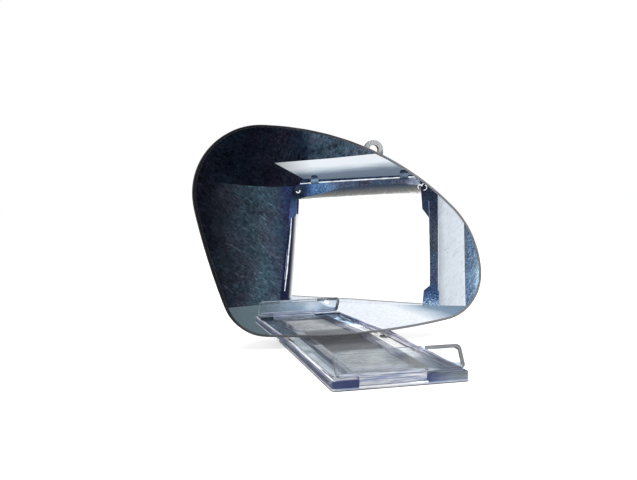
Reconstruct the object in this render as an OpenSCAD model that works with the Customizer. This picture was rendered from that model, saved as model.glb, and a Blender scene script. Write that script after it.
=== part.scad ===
// Small adjustable convex mirror on a folding clear stand.
// Millimetres, +Z up, the mirror faces -Y. The origin lies at the centre of the
// four screw holes, on the underside of the base tray.

/* [Base tray] */
// Width of the tray over its side walls
base_w = 70; // [64:1:90]
// Length of the tray from its front blocks to its rear ears
base_l = 127; // [120:1:150]
// Height of the side walls
wall_h = 4.2; // [3.8:0.1:5.2]
// Thickness of the side walls
wall_t = 1.6; // [1.2:0.1:2.2]
// Thickness of the tray floor
floor_t = 1.5; // [1.2:0.1:1.8]
// Width of the step along the foot of each side wall
step_w = 2.8; // [1.5:0.1:3.2]
// Height of that step above the tray floor
step_h = 1.1; // [0.6:0.1:1.6]
// Radius of the tray's front corners
tray_corner_r = 1.8; // [1:0.1:3]
// Radius of the screw holes
screw_hole_r = 2.1; // [1.6:0.1:2.4]
// Distance from the tray's sides to the screw holes' centres
screw_side_inset = 8; // [7:0.5:10]
// Distance from the tray's ends to the screw holes' centres
screw_end_inset = 12.5; // [12:0.5:20]
// Height of the rubber feet
foot_h = 0.8; // [0.5:0.1:2]
// Radius of the rubber feet
foot_r = 3.2; // [2.4:0.1:3.4]
// Distance from the tray's ends to the feet's centres
foot_end_inset = 20.5; // [19:0.5:30]

/* [Insert frame and ballast] */
// Width of the insert frame
insert_w = 43.5; // [40:0.5:44]
// Sideways offset of the insert frame
insert_shift = -1.75; // [-2:0.25:2]
// Width of the window in the insert frame
window_w = 30; // [26:1:32]
// Height of the insert frame above the tray floor
insert_h = 2.5; // [2.1:0.1:2.7]
// Distance from the tray's front edge to the insert frame
insert_front_gap = 10; // [9:0.5:14]
// Distance from the insert frame to the rear notch
insert_rear_gap = 6.5; // [5:0.5:10]
// Length of the frame's front bar
front_bar_l = 12; // [8:1:16]
// Length of the frame's rear bar
rear_bar_l = 5; // [4:0.5:8]
// Width of the bevel around the window
bevel = 1.4; // [0.8:0.1:1.8]
// Thickness of the ballast plate
ballast_t = 1; // [0.6:0.1:1.2]
// Overlap of the insert frame on the ballast plate
ballast_lap = 2; // [1.5:0.5:3]
// Thickness of the tape under the ballast plate
tape_t = 0.2; // [0.1:0.05:0.3]

/* [Front flap] */
// Length of the flap beyond its hinge
flap_l = 14.2; // [12:0.2:18]
// Gap between the flap's ends and the tray's sides
flap_inset = 1.7; // [1:0.1:3]
// Angle of the flap above level at rest
flap_rest = 60; // [50:1:70]
// Thickness of the flap's field
flap_t = 1; // [0.8:0.1:1.4]
// Height of the bead around the flap
flap_bead_t = 2; // [1.8:0.1:2.4]
// Width of the bead around the flap
flap_bead_w = 1.7; // [1.2:0.1:2.4]
// Radius of the flap's outer corners
flap_corner_r = 2.6; // [2:0.2:4]
// Radius of the flap's hinge barrel
flap_barrel_r = 2.4; // [2.2:0.1:2.4]
// Length of the flap's hinge barrel
flap_barrel_l = 34.6; // [30:0.2:42]
// Sideways offset of the flap's hinge barrel
flap_barrel_shift = -4.6; // [-5:0.2:5]
// Radius of the flap's hinge pin
flap_pin_r = 0.9; // [0.7:0.05:1.1]
// Depth of the front hinge blocks
block_d = 6.8; // [6.6:0.1:8]

/* [Back panel] */
// Thickness of the panel's border
panel_t = 3; // [2.6:0.1:3.6]
// Depth of the field sunk into the panel's rear face
field_d = 1; // [0.6:0.1:1.4]
// Width of the border around the field
border_w = 4; // [3:0.5:6]
// Height of the panel's top edge above the tray's underside
panel_top = 110; // [104:1:112]
// Radius of the panel hinge barrel
panel_barrel_r = 3.5; // [3.2:0.1:3.8]
// Radius of the rear ears of the tray
ear_r = 4.2; // [4:0.1:4.6]
// Width of each rear ear
ear_w = 5.7; // [4.5:0.1:6]
// Radius of the panel hinge pins
panel_pin_r = 1.5; // [1.2:0.1:1.8]
// Length of the panel hinge pins
panel_pin_l = 15; // [12:1:20]
// Height of the panel hinge above the tray's underside
panel_hinge_z = 4.4; // [4.2:0.1:5]
// Outer radius of the hanging eyelets
eyelet_r = 6.2; // [5.6:0.1:7.5]
// Radius of the hole in each eyelet
eyelet_hole_r = 3.2; // [2:0.1:3.6]
// Height of the eyelet holes above the panel's top edge
eyelet_rise = 9; // [7.6:0.2:12]
// Width of the stop heel on the panel's barrel
heel_w = 36; // [20:1:44]

/* [Tilting head] */
// Height of the tilt axis above the tray's underside
head_z = 67.2; // [66.5:0.1:70]
// Swivel of the head at rest, anticlockwise as seen from above
swivel_rest = 2.9; // [-8:0.1:8]
// Tilt of the head at rest; a negative angle leans its top back
tilt_rest = -2.2; // [-6:0.1:1]
// Distance from the swivel axis to the panel's front face
swivel_gap = 5.6; // [5.4:0.1:7]
// Distance from the tilt axis to the swivel axis
axis_gap = 7; // [6.6:0.1:9]
// Thickness of the bracket plates and their ears
bracket_t = 1.5; // [1.2:0.1:1.6]
// Radius of the swivel block's two barrels
block_r = 3.8; // [3.4:0.1:4]
// Length of the tilt barrel
tilt_barrel_l = 12; // [10:0.5:14]
// Length of the swivel barrel
swivel_barrel_l = 13; // [12:0.5:14]
// Radius of the tilt pin and the swivel pin
head_pin_r = 1.8; // [1.5:0.1:2]
// Thickness of the friction washers
washer_t = 0.5; // [0.4:0.1:0.8]
// Outer radius of the lock knob
knob_r = 5.6; // [5:0.1:6.4]
// Length of the lock knob
knob_l = 6.5; // [5:0.5:7.5]

/* [Mirror] */
// Radius of curvature of the mirror's face
mirror_r = 1500; // [1200:50:2400]
// Thickness of the mirror glass
glass_t = 2; // [1.6:0.1:2.4]
// Thickness of the adhesive pad behind the glass
pad_t = 0.8; // [0.6:0.1:1.2]
// Thickness of the carrier's shell
shell_t = 1.8; // [1.4:0.1:2.2]
// Thickness of the carrier's mounting boss
boss_t = 1.5; // [1:0.1:2]
// Inset of the adhesive pad from the mirror's outline
pad_inset = 14; // [10:1:20]
// Thickness of the edge trim around the glass
trim_t = 1; // [0.8:0.1:1.4]
// Reach of the trim's lip over the glass
trim_lip = 0.7; // [0.4:0.1:1]
// Thickness of the trim's lip
trim_lip_t = 0.5; // [0.4:0.1:0.8]
// Gap between the lock knob and the head bracket's plate
knob_clear = 0.5; // [0.3:0.1:2]

/* [Mirror outline] */
// Reach of the mirror to the left of the stand's centreline
mirror_left = 90.2; // [86:0.2:94]
// Height of the mirror's top above the tilt axis
mirror_rise = 63.4; // [60:0.1:66.5]
// Radius of the top left corner
top_left_r = 40; // [33:1:47]
// Sideways place of the top right circle's centre
top_right_x = 32; // [28:0.5:36]
// Drop of the top right circle's centre below the tilt axis
top_right_drop = 32.2; // [30:0.1:33]
// Radius of the top right circle
top_right_r = 63.6; // [60:0.2:67]
// Radius of the low right corner
low_right_r = 28.4; // [25:0.1:29]
// Angle above level at which the low right corner leaves the top right circle
shoulder_a = 5.6; // [4.6:0.2:8]
// Sideways place of the low left corner's centre
low_left_x = -47; // [-51:0.5:-43]
// Drop of the low left corner's centre below the tilt axis
low_left_drop = 33.1; // [30:0.1:33.5]
// Radius of the low left corner
low_left_r = 27.3; // [24:0.1:27.7]
// Bow radius of the top side
top_bow_r = 186; // [170:2:260]
// Bow radius of the bottom side
low_bow_r = 500; // [460:10:900]
// Bow radius of the left side
left_bow_r = 400; // [300:10:2000]

/* [Hidden] */
$fn = 64;
fine_fn = 360;
over = 1;
tiny = 0.02;
run_gap = 0.05;
side_gap = 0.3;

// Tray
front_y = -base_l / 2;
rear_y = base_l / 2;
step_z = floor_t + step_h;
hinge_y = rear_y - ear_r;
notch_gap = 0.6;
notch_y = hinge_y - panel_barrel_r - notch_gap;
ear_x = base_w / 2 - ear_w;
foot_margin = 0.6;
foot_x = base_w / 2 - foot_r - foot_margin;
foot_y = base_l / 2 - foot_end_inset;
screw_x = base_w / 2 - screw_side_inset;
screw_y = base_l / 2 - screw_end_inset;

// Front hinge: the flap's barrel turns between a left and a right block
flap_setback = 0.8;
flap_under = 0.2;
flap_axis_y = front_y + flap_barrel_r + flap_setback;
flap_axis_z = flap_barrel_r + flap_under;
barrel_x0 = flap_barrel_shift - flap_barrel_l / 2;
barrel_x1 = flap_barrel_shift + flap_barrel_l / 2;
block_inset = 1.2;
block_rise = 0.2;
block_h = wall_h + block_rise;
flap_w = base_w - 2 * flap_inset;
wing_s = 1.5;
flap_sink = 0.5;
flap_n = flap_barrel_r - flap_sink;
flap_inner_r = flap_corner_r - 1;
flap_rib_s = [-1.3, 0.2, 1.7];
flap_rib_w = 0.7;
flap_rib_rise = 0.5;

// Insert frame
insert_x0 = insert_shift - insert_w / 2;
insert_x1 = insert_shift + insert_w / 2;
insert_y0 = front_y + insert_front_gap;
insert_y1 = notch_y - insert_rear_gap;
window_x0 = insert_shift - window_w / 2;
window_x1 = insert_shift + window_w / 2;
window_y0 = insert_y0 + front_bar_l;
window_y1 = insert_y1 - rear_bar_l;
ballast_z = floor_t + tape_t;
ballast_gap = 0.1;

// Back panel
panel_y0 = hinge_y - panel_t / 2;
panel_y1 = hinge_y + panel_t / 2;
panel_x = base_w / 2;
ear_clear = 0.8;
panel_foot_z = panel_hinge_z + ear_r + ear_clear;
panel_corner_r = 3;
eyelet_x = panel_x - eyelet_r;
eyelet_z = panel_top + eyelet_rise;
barrel_half = ear_x - side_gap;
pin_end_gap = 0.2;
heel_out = 2.4;
heel_y0 = notch_y - heel_out;
heel_z0 = floor_t + 2 * run_gap;
heel_t = 2;

// Tilting head
swivel_y = panel_y0 - swivel_gap;
tilt_y = swivel_y - axis_gap;
boss_y = tilt_y - knob_r - knob_clear - bracket_t;
lug_r = 4.2;
lug_gap = 0.1;
plate_w = 24;
plate_h = 24;
plate_corner_r = 3;
screw_off = 8.8;
screw_r = 1.2;
screw_head_r = 2;
screw_head_t = 1.1;
cross_l = 2.2;
cross_w = 0.5;
cross_d = 0.55;
tip_out = 0.4;
screw_bite = 0.8;
screw_tip_y = boss_y - boss_t - screw_bite;
tilt_lug_x = tilt_barrel_l / 2 + washer_t + lug_gap;
swivel_lug_z = swivel_barrel_l / 2 + washer_t + lug_gap;
block_web = block_r - 0.4;
pin_head_lap = 1.5;
pin_head_t = 1.3;
pin_tail = 2.4;
socket_r = 1.4;
socket_d = 0.8;
nut_t = 0.9;
nut_rim_t = 0.5;
nut_rim_lap = 2;
nut_crown_lap = 1.1;
knob_gap = 0.3;
knob_x0 = tilt_lug_x + bracket_t + knob_gap;
knob_cap = 1.2;
knob_bore_gap = 0.2;
insert_r = head_pin_r + 1.2;
insert_l = knob_l - knob_cap;
flutes = 6;
flute_r = 1.6;
flute_d = 0.8;

// Mirror: concentric spherical layers, measured back from the face
mirror_x = 2;
mirror_z = head_z;
glass_y = boss_y - boss_t - shell_t - pad_t - glass_t;
sphere_y = glass_y + mirror_r;
shell_d = glass_t + pad_t;
trim_back = trim_lip_t + shell_d + shell_t;
seam_a = 13;
boss_r = 17;
rim_w = 3;
rib_t = 1.6;
rib_h = 2.2;
rib_root = 1;
rib_edge = 4;
rib_inner_r = 26;
rib_count = 6;
rib_turn = 30;

// The outline runs clockwise. Its four corners are circles, [x, z, radius]. The
// top right circle runs straight on into the low right one, and bowed sides of
// the given radii join the others.
top_left = [top_left_r - mirror_left, head_z + mirror_rise - top_left_r, top_left_r];
top_right = [top_right_x, head_z - top_right_drop, top_right_r];
shoulder_gap = top_right_r - low_right_r;
low_right = [
  top_right[0] + shoulder_gap * cos(shoulder_a),
  top_right[1] + shoulder_gap * sin(shoulder_a),
  low_right_r
];
low_left = [low_left_x, head_z - low_left_drop, low_left_r];
corner_steps = 12;
side_steps = 10;

// Centre of the circle of radius r that touches two corners from outside
function side_centre(a, b, r) =
  let (
    gap = [b[0] - a[0], b[1] - a[1]],
    span = norm(gap),
    u = gap / span,
    ra = r - a[2],
    rb = r - b[2],
    along = (ra * ra - rb * rb + span * span) / (2 * span),
    off = sqrt(ra * ra - along * along)
  )
  [a[0] + u[0] * along + u[1] * off, a[1] + u[1] * along - u[0] * off, r];

top_side = side_centre(top_left, top_right, top_bow_r);
low_side = side_centre(low_right, low_left, low_bow_r);
left_side = side_centre(low_left, top_left, left_bow_r);

// Direction of the point where the circles a and b touch
function bearing(a, b) =
  a[2] > b[2] ? atan2(b[1] - a[1], b[0] - a[0]) : atan2(a[1] - b[1], a[0] - b[0]);

// Signed turn from one angle to another, between -180 and 180
function turn(a, b) = b - a - 360 * floor((b - a + 180) / 360);

// Part of circle c, grown by grow, between its neighbours before and after
function arc(before, c, after, grow, steps) =
  let (
    a0 = bearing(before, c),
    sweep = turn(a0, bearing(c, after))
  )
  [
    for (k = [0:steps - 1])
      let (a = a0 + sweep * k / steps)
      [c[0] + (c[2] + grow) * cos(a), c[1] + (c[2] + grow) * sin(a)]
  ];

// Points of the outline, moved outwards by grow
function outline(grow) = concat(
  arc(left_side, top_left, top_side, grow, corner_steps),
  arc(top_left, top_side, top_right, grow, side_steps),
  arc(top_side, top_right, low_right, grow, corner_steps),
  arc(top_right, low_right, low_side, grow, corner_steps),
  arc(low_right, low_side, low_left, grow, side_steps),
  arc(low_side, low_left, left_side, grow, corner_steps),
  arc(low_left, left_side, top_left, grow, side_steps)
);

// Round bowl that holds the whole outline, and the slab of depth that it fills
cap_reach = max([for (p = outline(over)) norm([p[0] - mirror_x, p[1] - mirror_z])]) + over;
cap_sag = mirror_r - sqrt(mirror_r * mirror_r - cap_reach * cap_reach);
slab_y0 = glass_y - trim_lip_t - over;
slab_y1 = glass_y + cap_sag + trim_back + rib_h + over;

// Round bar along X from x0 to x1
module bar_x(r, x0, x1, y, z, fn = 64) {
  translate([x0, y, z]) rotate([0, 90, 0]) cylinder(r = r, h = x1 - x0, $fn = fn);
}

// Round bar along Y from y0 to y1
module bar_y(r, y0, y1, x, z, fn = 48) {
  translate([x, y1, z]) rotate([90, 0, 0]) cylinder(r = r, h = y1 - y0, $fn = fn);
}

module box(x0, x1, y0, y1, z0, z1) {
  translate([x0, y0, z0]) cube([x1 - x0, y1 - y0, z1 - z0]);
}

// Shape drawn in X and Z, given depth along Y from y0 to y1
module upright(y0, y1) {
  translate([0, y1, 0]) rotate([90, 0, 0]) linear_extrude(y1 - y0) children();
}

// Profile drawn in Y and Z, run along X from x0 to x1
module run_x(x0, x1) {
  translate([x0, 0, 0]) rotate([90, 0, 90]) linear_extrude(x1 - x0) children();
}

module rounded_rect(x0, x1, y0, y1, r) {
  translate([x0 + r, y0]) square([x1 - x0 - 2 * r, y1 - y0]);
  translate([x0, y0 + r]) square([x1 - x0, y1 - y0 - 2 * r]);
  for (x = [x0 + r, x1 - r], y = [y0 + r, y1 - r]) translate([x, y]) circle(r);
}

module at_screw_holes() {
  for (x = [-screw_x, screw_x], y = [-screw_y, screw_y]) translate([x, y, 0]) children();
}

// ---- Base ----

module base_tray() {
  color([0.62, 0.66, 0.78, 0.45]) difference() {
    union() {
      difference() {
        linear_extrude(wall_h)
          rounded_rect(-base_w / 2, base_w / 2, front_y, rear_y, tray_corner_r);
        box(-base_w / 2 + wall_t, base_w / 2 - wall_t,
            front_y + wall_t, rear_y + over, step_z, wall_h + over);
        box(-base_w / 2 + wall_t + step_w, base_w / 2 - wall_t - step_w,
            front_y + wall_t, rear_y + over, floor_t, step_z + over);
        box(-base_w / 2 - over, base_w / 2 + over, hinge_y, rear_y + over, -over, wall_h + over);
      }
      box(-base_w / 2 + block_inset, barrel_x0 - side_gap,
          front_y, front_y + block_d, 0, block_h);
      box(barrel_x1 + side_gap, base_w / 2 - block_inset,
          front_y, front_y + block_d, 0, block_h);
      for (side = [-1, 1]) rear_ear(side);
    }
    box(barrel_x0 - side_gap, barrel_x1 + side_gap, front_y - over,
        flap_axis_y + flap_barrel_r + side_gap, -over, block_h + over);
    box(-ear_x, ear_x, notch_y, rear_y + over, -over, wall_h + over);
    bar_x(flap_pin_r, -base_w / 2 + block_inset, base_w / 2 - block_inset + over,
          flap_axis_y, flap_axis_z, 32);
    bar_x(panel_pin_r, -base_w / 2 - over, base_w / 2 + over, hinge_y, panel_hinge_z, 32);
    at_screw_holes() translate([0, 0, -over])
      cylinder(r = screw_hole_r, h = step_z + 2 * over, $fn = 48);
  }
}

module rear_ear(side) {
  x0 = side > 0 ? ear_x : -base_w / 2;
  bar_x(ear_r, x0, x0 + ear_w, hinge_y, panel_hinge_z);
  box(x0, x0 + ear_w, hinge_y - ear_r, hinge_y + ear_r, 0, panel_hinge_z);
}

module rubber_feet() {
  color([0.08, 0.08, 0.09])
    for (x = [-foot_x, foot_x], y = [-foot_y, foot_y])
      translate([x, y, -foot_h]) cylinder(r = foot_r, h = foot_h, $fn = 48);
}

// Bar of the insert frame in cross-section: the window lies on the right
module insert_profile(w) {
  polygon([
    [0, floor_t], [w, floor_t], [w, floor_t + insert_h - bevel],
    [w - bevel, floor_t + insert_h], [0, floor_t + insert_h]
  ]);
}

module insert_frame() {
  rail_w = (insert_w - window_w) / 2;
  lap_z = ballast_z + ballast_t + ballast_gap;
  color([0.75, 0.77, 0.88, 0.45]) difference() {
    union() {
      translate([insert_x0, 0, 0]) upright(insert_y0, insert_y1) insert_profile(rail_w);
      translate([insert_x1, 0, 0]) mirror([1, 0, 0])
        upright(insert_y0, insert_y1) insert_profile(rail_w);
      translate([0, insert_y0, 0]) run_x(insert_x0, insert_x1) insert_profile(front_bar_l);
      translate([0, insert_y1, 0]) mirror([0, 1, 0])
        run_x(insert_x0, insert_x1) insert_profile(rear_bar_l);
    }
    box(window_x0 - ballast_lap - ballast_gap, window_x1 + ballast_lap + ballast_gap,
        window_y0 - ballast_lap - ballast_gap, window_y1 + ballast_lap + ballast_gap,
        0, lap_z);
  }
}

module ballast_sheet(z0, z1) {
  box(window_x0 - ballast_lap, window_x1 + ballast_lap,
      window_y0 - ballast_lap, window_y1 + ballast_lap, z0, z1);
}

module ballast_plate() {
  color([0.36, 0.37, 0.38]) ballast_sheet(ballast_z, ballast_z + ballast_t);
}

module ballast_tape() {
  color([0.85, 0.85, 0.82]) ballast_sheet(floor_t, ballast_z);
}

// ---- Flap ----

// Flap lying along +Y from its hinge axis at the origin
module flap_level() {
  x0 = -flap_w / 2;
  x1 = flap_w / 2;
  difference() {
    union() {
      translate([0, 0, flap_n]) linear_extrude(flap_bead_t)
        rounded_rect(x0, x1, wing_s, flap_l, flap_corner_r);
      box(barrel_x0, barrel_x1, 0, wing_s + flap_bead_w, 0, flap_n + flap_t);
      bar_x(flap_barrel_r, barrel_x0, barrel_x1, 0, 0);
      for (s = flap_rib_s)
        box(barrel_x0, barrel_x1, s, s + flap_rib_w, 0, flap_barrel_r + flap_rib_rise + s / 2);
    }
    translate([0, 0, flap_n + flap_t]) linear_extrude(flap_bead_t)
      rounded_rect(x0 + flap_bead_w, x1 - flap_bead_w,
                   wing_s + flap_bead_w, flap_l - flap_bead_w, flap_inner_r);
    bar_x(flap_pin_r + run_gap, barrel_x0 - over, barrel_x1 + over, 0, 0, 32);
  }
}

module front_flap() {
  color([0.72, 0.73, 0.8, 0.45])
    translate([0, flap_axis_y, flap_axis_z]) rotate([flap_rest, 0, 0]) flap_level();
}

module flap_hinge_pin() {
  color([0.75, 0.75, 0.78])
    bar_x(flap_pin_r, -base_w / 2 + block_inset, base_w / 2 - block_inset,
          flap_axis_y, flap_axis_z, 32);
}

// ---- Back panel ----

module back_panel() {
  color([0.78, 0.8, 0.84, 0.45]) difference() {
    upright(panel_y0, panel_y1) panel_outline();
    upright(panel_y1 - field_d, panel_y1 + over)
      rounded_rect(-panel_x + border_w, panel_x - border_w,
                   panel_foot_z + border_w, panel_top - border_w, panel_corner_r);
    for (x = [-eyelet_x, eyelet_x])
      bar_y(eyelet_hole_r, panel_y0 - over, panel_y1 + over, x, eyelet_z);
    at_bracket_screws() bar_y(screw_r, panel_y0 - over, panel_y1 + over, 0, 0, 32);
  }
}

// Hinge barrel bonded to the panel's lower edge, with the heel that stops its lean
module hinge_rail() {
  color([0.74, 0.77, 0.85, 0.45]) difference() {
    union() {
      bar_x(panel_barrel_r, -barrel_half, barrel_half, hinge_y, panel_hinge_z);
      box(-barrel_half, barrel_half, panel_y0, panel_y1, panel_hinge_z, panel_foot_z);
      box(-heel_w / 2, heel_w / 2, heel_y0, hinge_y, heel_z0, heel_z0 + heel_t);
    }
    for (side = [-1, 1])
      translate([side * base_w / 2, hinge_y, panel_hinge_z]) rotate([0, -side * 90, 0])
        cylinder(r = panel_pin_r + run_gap, h = panel_pin_l + pin_end_gap, $fn = 32);
  }
}

module panel_outline() {
  rounded_rect(-panel_x, panel_x, panel_foot_z, panel_top, panel_corner_r);
  for (x = [-eyelet_x, eyelet_x]) {
    translate([x, eyelet_z]) circle(eyelet_r);
    translate([x - eyelet_r, panel_top - border_w])
      square([2 * eyelet_r, eyelet_z - panel_top + border_w]);
  }
}

module panel_hinge_pins() {
  color([0.75, 0.75, 0.78])
    for (side = [-1, 1])
      translate([side * base_w / 2, hinge_y, panel_hinge_z]) rotate([0, -side * 90, 0])
        cylinder(r = panel_pin_r, h = panel_pin_l, $fn = 32);
}

// ---- Tilting head ----

module at_bracket_screws() {
  for (x = [-1, 1], z = [-1, 1]) translate([x * screw_off, 0, head_z + z * screw_off]) children();
}

// Screw along Y with its head's outer face at y_head and its tip at y_tip
module screw_along_y(y_head, y_tip) {
  dir = y_tip > y_head ? 1 : -1;
  y_under = y_head + dir * screw_head_t;
  difference() {
    bar_y(screw_head_r, min(y_head, y_under), max(y_head, y_under), 0, 0);
    translate([0, y_head, 0]) for (a = [0, 90]) rotate([0, a, 0])
      cube([cross_l, 2 * cross_d, cross_w], center = true);
  }
  bar_y(screw_r, min(y_under, y_tip), max(y_under, y_tip), 0, 0, 32);
}

module bracket_plate(y0) {
  difference() {
    upright(y0, y0 + bracket_t)
      rounded_rect(-plate_w / 2, plate_w / 2,
                   head_z - plate_h / 2, head_z + plate_h / 2, plate_corner_r);
    at_bracket_screws() bar_y(screw_r, y0 - over, y0 + bracket_t + over, 0, 0, 32);
  }
}

// Bracket on the back panel: two level ears hold the swivel pin
module panel_bracket() {
  color([0.6, 0.61, 0.63]) {
    bracket_plate(panel_y0 - bracket_t);
    for (side = [-1, 1])
      translate([0, 0, head_z + (side > 0 ? swivel_lug_z : -swivel_lug_z - bracket_t)])
        difference() {
          union() {
            cylinder_at(lug_r, swivel_y, bracket_t);
            box(-lug_r, lug_r, swivel_y, panel_y0 - bracket_t, 0, bracket_t);
          }
          translate([0, 0, -over]) cylinder_at(head_pin_r, swivel_y, bracket_t + 2 * over);
        }
  }
}

module cylinder_at(r, y, h) {
  translate([0, y, 0]) cylinder(r = r, h = h, $fn = 48);
}

module panel_screws() {
  color([0.7, 0.7, 0.72])
    at_bracket_screws() screw_along_y(panel_y1 - field_d + screw_head_t, panel_y0 - bracket_t - tip_out);
}

// Turns its children about the upright pin, as the swivel block stands at rest
module swivelled() {
  translate([0, swivel_y, 0]) rotate([0, 0, swivel_rest])
    translate([0, -swivel_y, 0]) children();
}

// Turns its children as the head stands at rest: about the tilt pin, then with the block
module tilted() {
  swivelled() translate([0, tilt_y, head_z]) rotate([tilt_rest, 0, 0])
    translate([0, -tilt_y, -head_z]) children();
}

module swivel_block() {
  color([0.16, 0.16, 0.18]) swivelled() difference() {
    union() {
      bar_x(block_r, -tilt_barrel_l / 2, tilt_barrel_l / 2, tilt_y, head_z);
      translate([0, 0, head_z - swivel_barrel_l / 2])
        cylinder_at(block_r, swivel_y, swivel_barrel_l);
      box(-block_web, block_web, tilt_y, swivel_y, head_z - block_web, head_z + block_web);
    }
    bar_x(head_pin_r + run_gap, -tilt_barrel_l, tilt_barrel_l, tilt_y, head_z, 48);
    translate([0, 0, head_z - swivel_barrel_l])
      cylinder_at(head_pin_r + run_gap, swivel_y, 2 * swivel_barrel_l);
  }
}

module swivel_pin() {
  top = head_z + swivel_lug_z + bracket_t;
  low = head_z - swivel_lug_z - bracket_t - pin_tail;
  color([0.75, 0.75, 0.78]) {
    translate([0, 0, low]) cylinder_at(head_pin_r, swivel_y, top - low);
    translate([0, 0, top]) cylinder_at(head_pin_r + pin_head_lap, swivel_y, pin_head_t);
  }
}

module swivel_push_nut() {
  color([0.45, 0.45, 0.47])
    translate([0, 0, head_z - swivel_lug_z - bracket_t - nut_t]) difference() {
      union() {
        cylinder_at(head_pin_r + nut_rim_lap, swivel_y, nut_rim_t);
        cylinder_at(head_pin_r + nut_crown_lap, swivel_y, nut_t);
      }
      translate([0, 0, -over]) cylinder_at(head_pin_r, swivel_y, nut_t + 2 * over);
    }
}

module swivel_washers() {
  color([0.9, 0.9, 0.86]) swivelled()
    for (side = [-1, 1])
      translate([0, 0, head_z + (side > 0 ? swivel_barrel_l / 2 : -swivel_barrel_l / 2 - washer_t)])
        difference() {
          cylinder_at(block_r, swivel_y, washer_t);
          translate([0, 0, -over])
            cylinder_at(head_pin_r + run_gap, swivel_y, washer_t + 2 * over);
        }
}

// Bracket on the mirror's carrier: two upright ears hold the tilt pin
module head_bracket() {
  color([0.6, 0.61, 0.63]) tilted() {
    bracket_plate(boss_y);
    for (side = [-1, 1]) {
      x0 = side > 0 ? tilt_lug_x : -tilt_lug_x - bracket_t;
      difference() {
        union() {
          bar_x(lug_r, x0, x0 + bracket_t, tilt_y, head_z);
          box(x0, x0 + bracket_t, boss_y + bracket_t, tilt_y,
              head_z - lug_r, head_z + lug_r);
        }
        bar_x(head_pin_r, x0 - over, x0 + bracket_t + over, tilt_y, head_z, 48);
      }
    }
  }
}

module bracket_screws() {
  color([0.7, 0.7, 0.72]) tilted()
    at_bracket_screws() screw_along_y(boss_y + bracket_t + screw_head_t, screw_tip_y);
}

module tilt_pin() {
  x0 = -tilt_lug_x - bracket_t;
  color([0.75, 0.75, 0.78]) tilted() {
    bar_x(head_pin_r, x0, knob_x0 + insert_l - knob_gap, tilt_y, head_z, 48);
    difference() {
      bar_x(head_pin_r + pin_head_lap, x0 - pin_head_t, x0, tilt_y, head_z, 48);
      translate([x0 - pin_head_t, tilt_y, head_z]) rotate([0, 90, 0])
        cylinder(r = socket_r, h = 2 * socket_d, center = true, $fn = 6);
    }
  }
}

module tilt_washers() {
  color([0.9, 0.9, 0.86]) swivelled()
    for (x0 = [-tilt_barrel_l / 2 - washer_t, tilt_barrel_l / 2]) difference() {
      bar_x(block_r, x0, x0 + washer_t, tilt_y, head_z, 48);
      bar_x(head_pin_r + run_gap, x0 - over, x0 + washer_t + over, tilt_y, head_z, 48);
    }
}

module lock_knob() {
  color([0.12, 0.12, 0.13]) tilted() translate([knob_x0, tilt_y, head_z]) rotate([0, 90, 0])
    difference() {
      linear_extrude(knob_l) difference() {
        circle(knob_r);
        for (k = [0:flutes - 1]) rotate(k * 360 / flutes)
          translate([knob_r + flute_r - flute_d, 0]) circle(flute_r);
      }
      translate([0, 0, -over]) cylinder(r = insert_r, h = insert_l + over, $fn = 48);
      cylinder(r = head_pin_r + knob_bore_gap, h = knob_l + over, $fn = 48);
    }
}

module knob_insert() {
  color([0.78, 0.62, 0.3]) tilted() translate([knob_x0, tilt_y, head_z]) rotate([0, 90, 0])
    difference() {
      cylinder(r = insert_r, h = insert_l, $fn = 48);
      translate([0, 0, -over]) cylinder(r = head_pin_r + run_gap, h = knob_l + over, $fn = 48);
    }
}

// ---- Mirror ----

// Part of a round bowl between two depths behind the mirror's face
module layer(d0, d1) {
  translate([mirror_x, sphere_y, mirror_z]) rotate([90, 0, 0])
    rotate([0, 0, seam_a]) rotate_extrude($fn = fine_fn) intersection() {
      difference() {
        circle(mirror_r - d0, $fn = 4 * fine_fn);
        circle(mirror_r - d1, $fn = 4 * fine_fn);
      }
      translate([0, mirror_r / 2]) square([cap_reach, mirror_r]);
    }
}

// A layer cut to the mirror's outline, moved outwards by grow
module plate_layer(d0, d1, grow) {
  intersection() {
    layer(d0, d1);
    upright(slab_y0, slab_y1) polygon(outline(grow));
  }
}

module ring_layer(d0, d1, outer, inner) {
  difference() {
    plate_layer(d0, d1, outer);
    upright(slab_y0 - over, slab_y1 + over) polygon(outline(inner));
  }
}

module mirror_glass() {
  color([0.2, 0.24, 0.32]) tilted() plate_layer(0, glass_t, -trim_t);
}

module adhesive_pad() {
  color([0.12, 0.12, 0.12]) tilted() plate_layer(glass_t, glass_t + pad_t, -pad_inset);
}

module carrier_shell() {
  color([0.14, 0.15, 0.17]) tilted() difference() {
    union() {
      plate_layer(shell_d, shell_d + shell_t, -trim_t);
      ring_layer(glass_t, shell_d + tiny, -trim_t, -trim_t - rim_w);
      intersection() {
        carrier_ribs();
        plate_layer(shell_d + rib_root, shell_d + shell_t + rib_h, -trim_t - rib_edge);
      }
      bar_y(boss_r, glass_y + shell_d + shell_t / 2, boss_y, 0, head_z, 96);
    }
    at_bracket_screws() bar_y(screw_r, screw_tip_y, boss_y + over, 0, 0, 32);
  }
}

module carrier_ribs() {
  for (k = [0:rib_count - 1])
    translate([mirror_x, 0, mirror_z]) rotate([0, k * 360 / rib_count + rib_turn, 0])
      box(rib_inner_r, cap_reach, glass_y, slab_y1, -rib_t / 2, rib_t / 2);
  difference() {
    bar_y(rib_inner_r + rib_t, glass_y, slab_y1, mirror_x, mirror_z, 96);
    bar_y(rib_inner_r, glass_y - over, slab_y1 + over, mirror_x, mirror_z, 96);
  }
}

module edge_trim() {
  color([0.3, 0.31, 0.33]) tilted() {
    ring_layer(-trim_lip_t, 0, 0, -trim_t - trim_lip);
    ring_layer(-tiny, trim_back, 0, -trim_t);
  }
}

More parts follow.
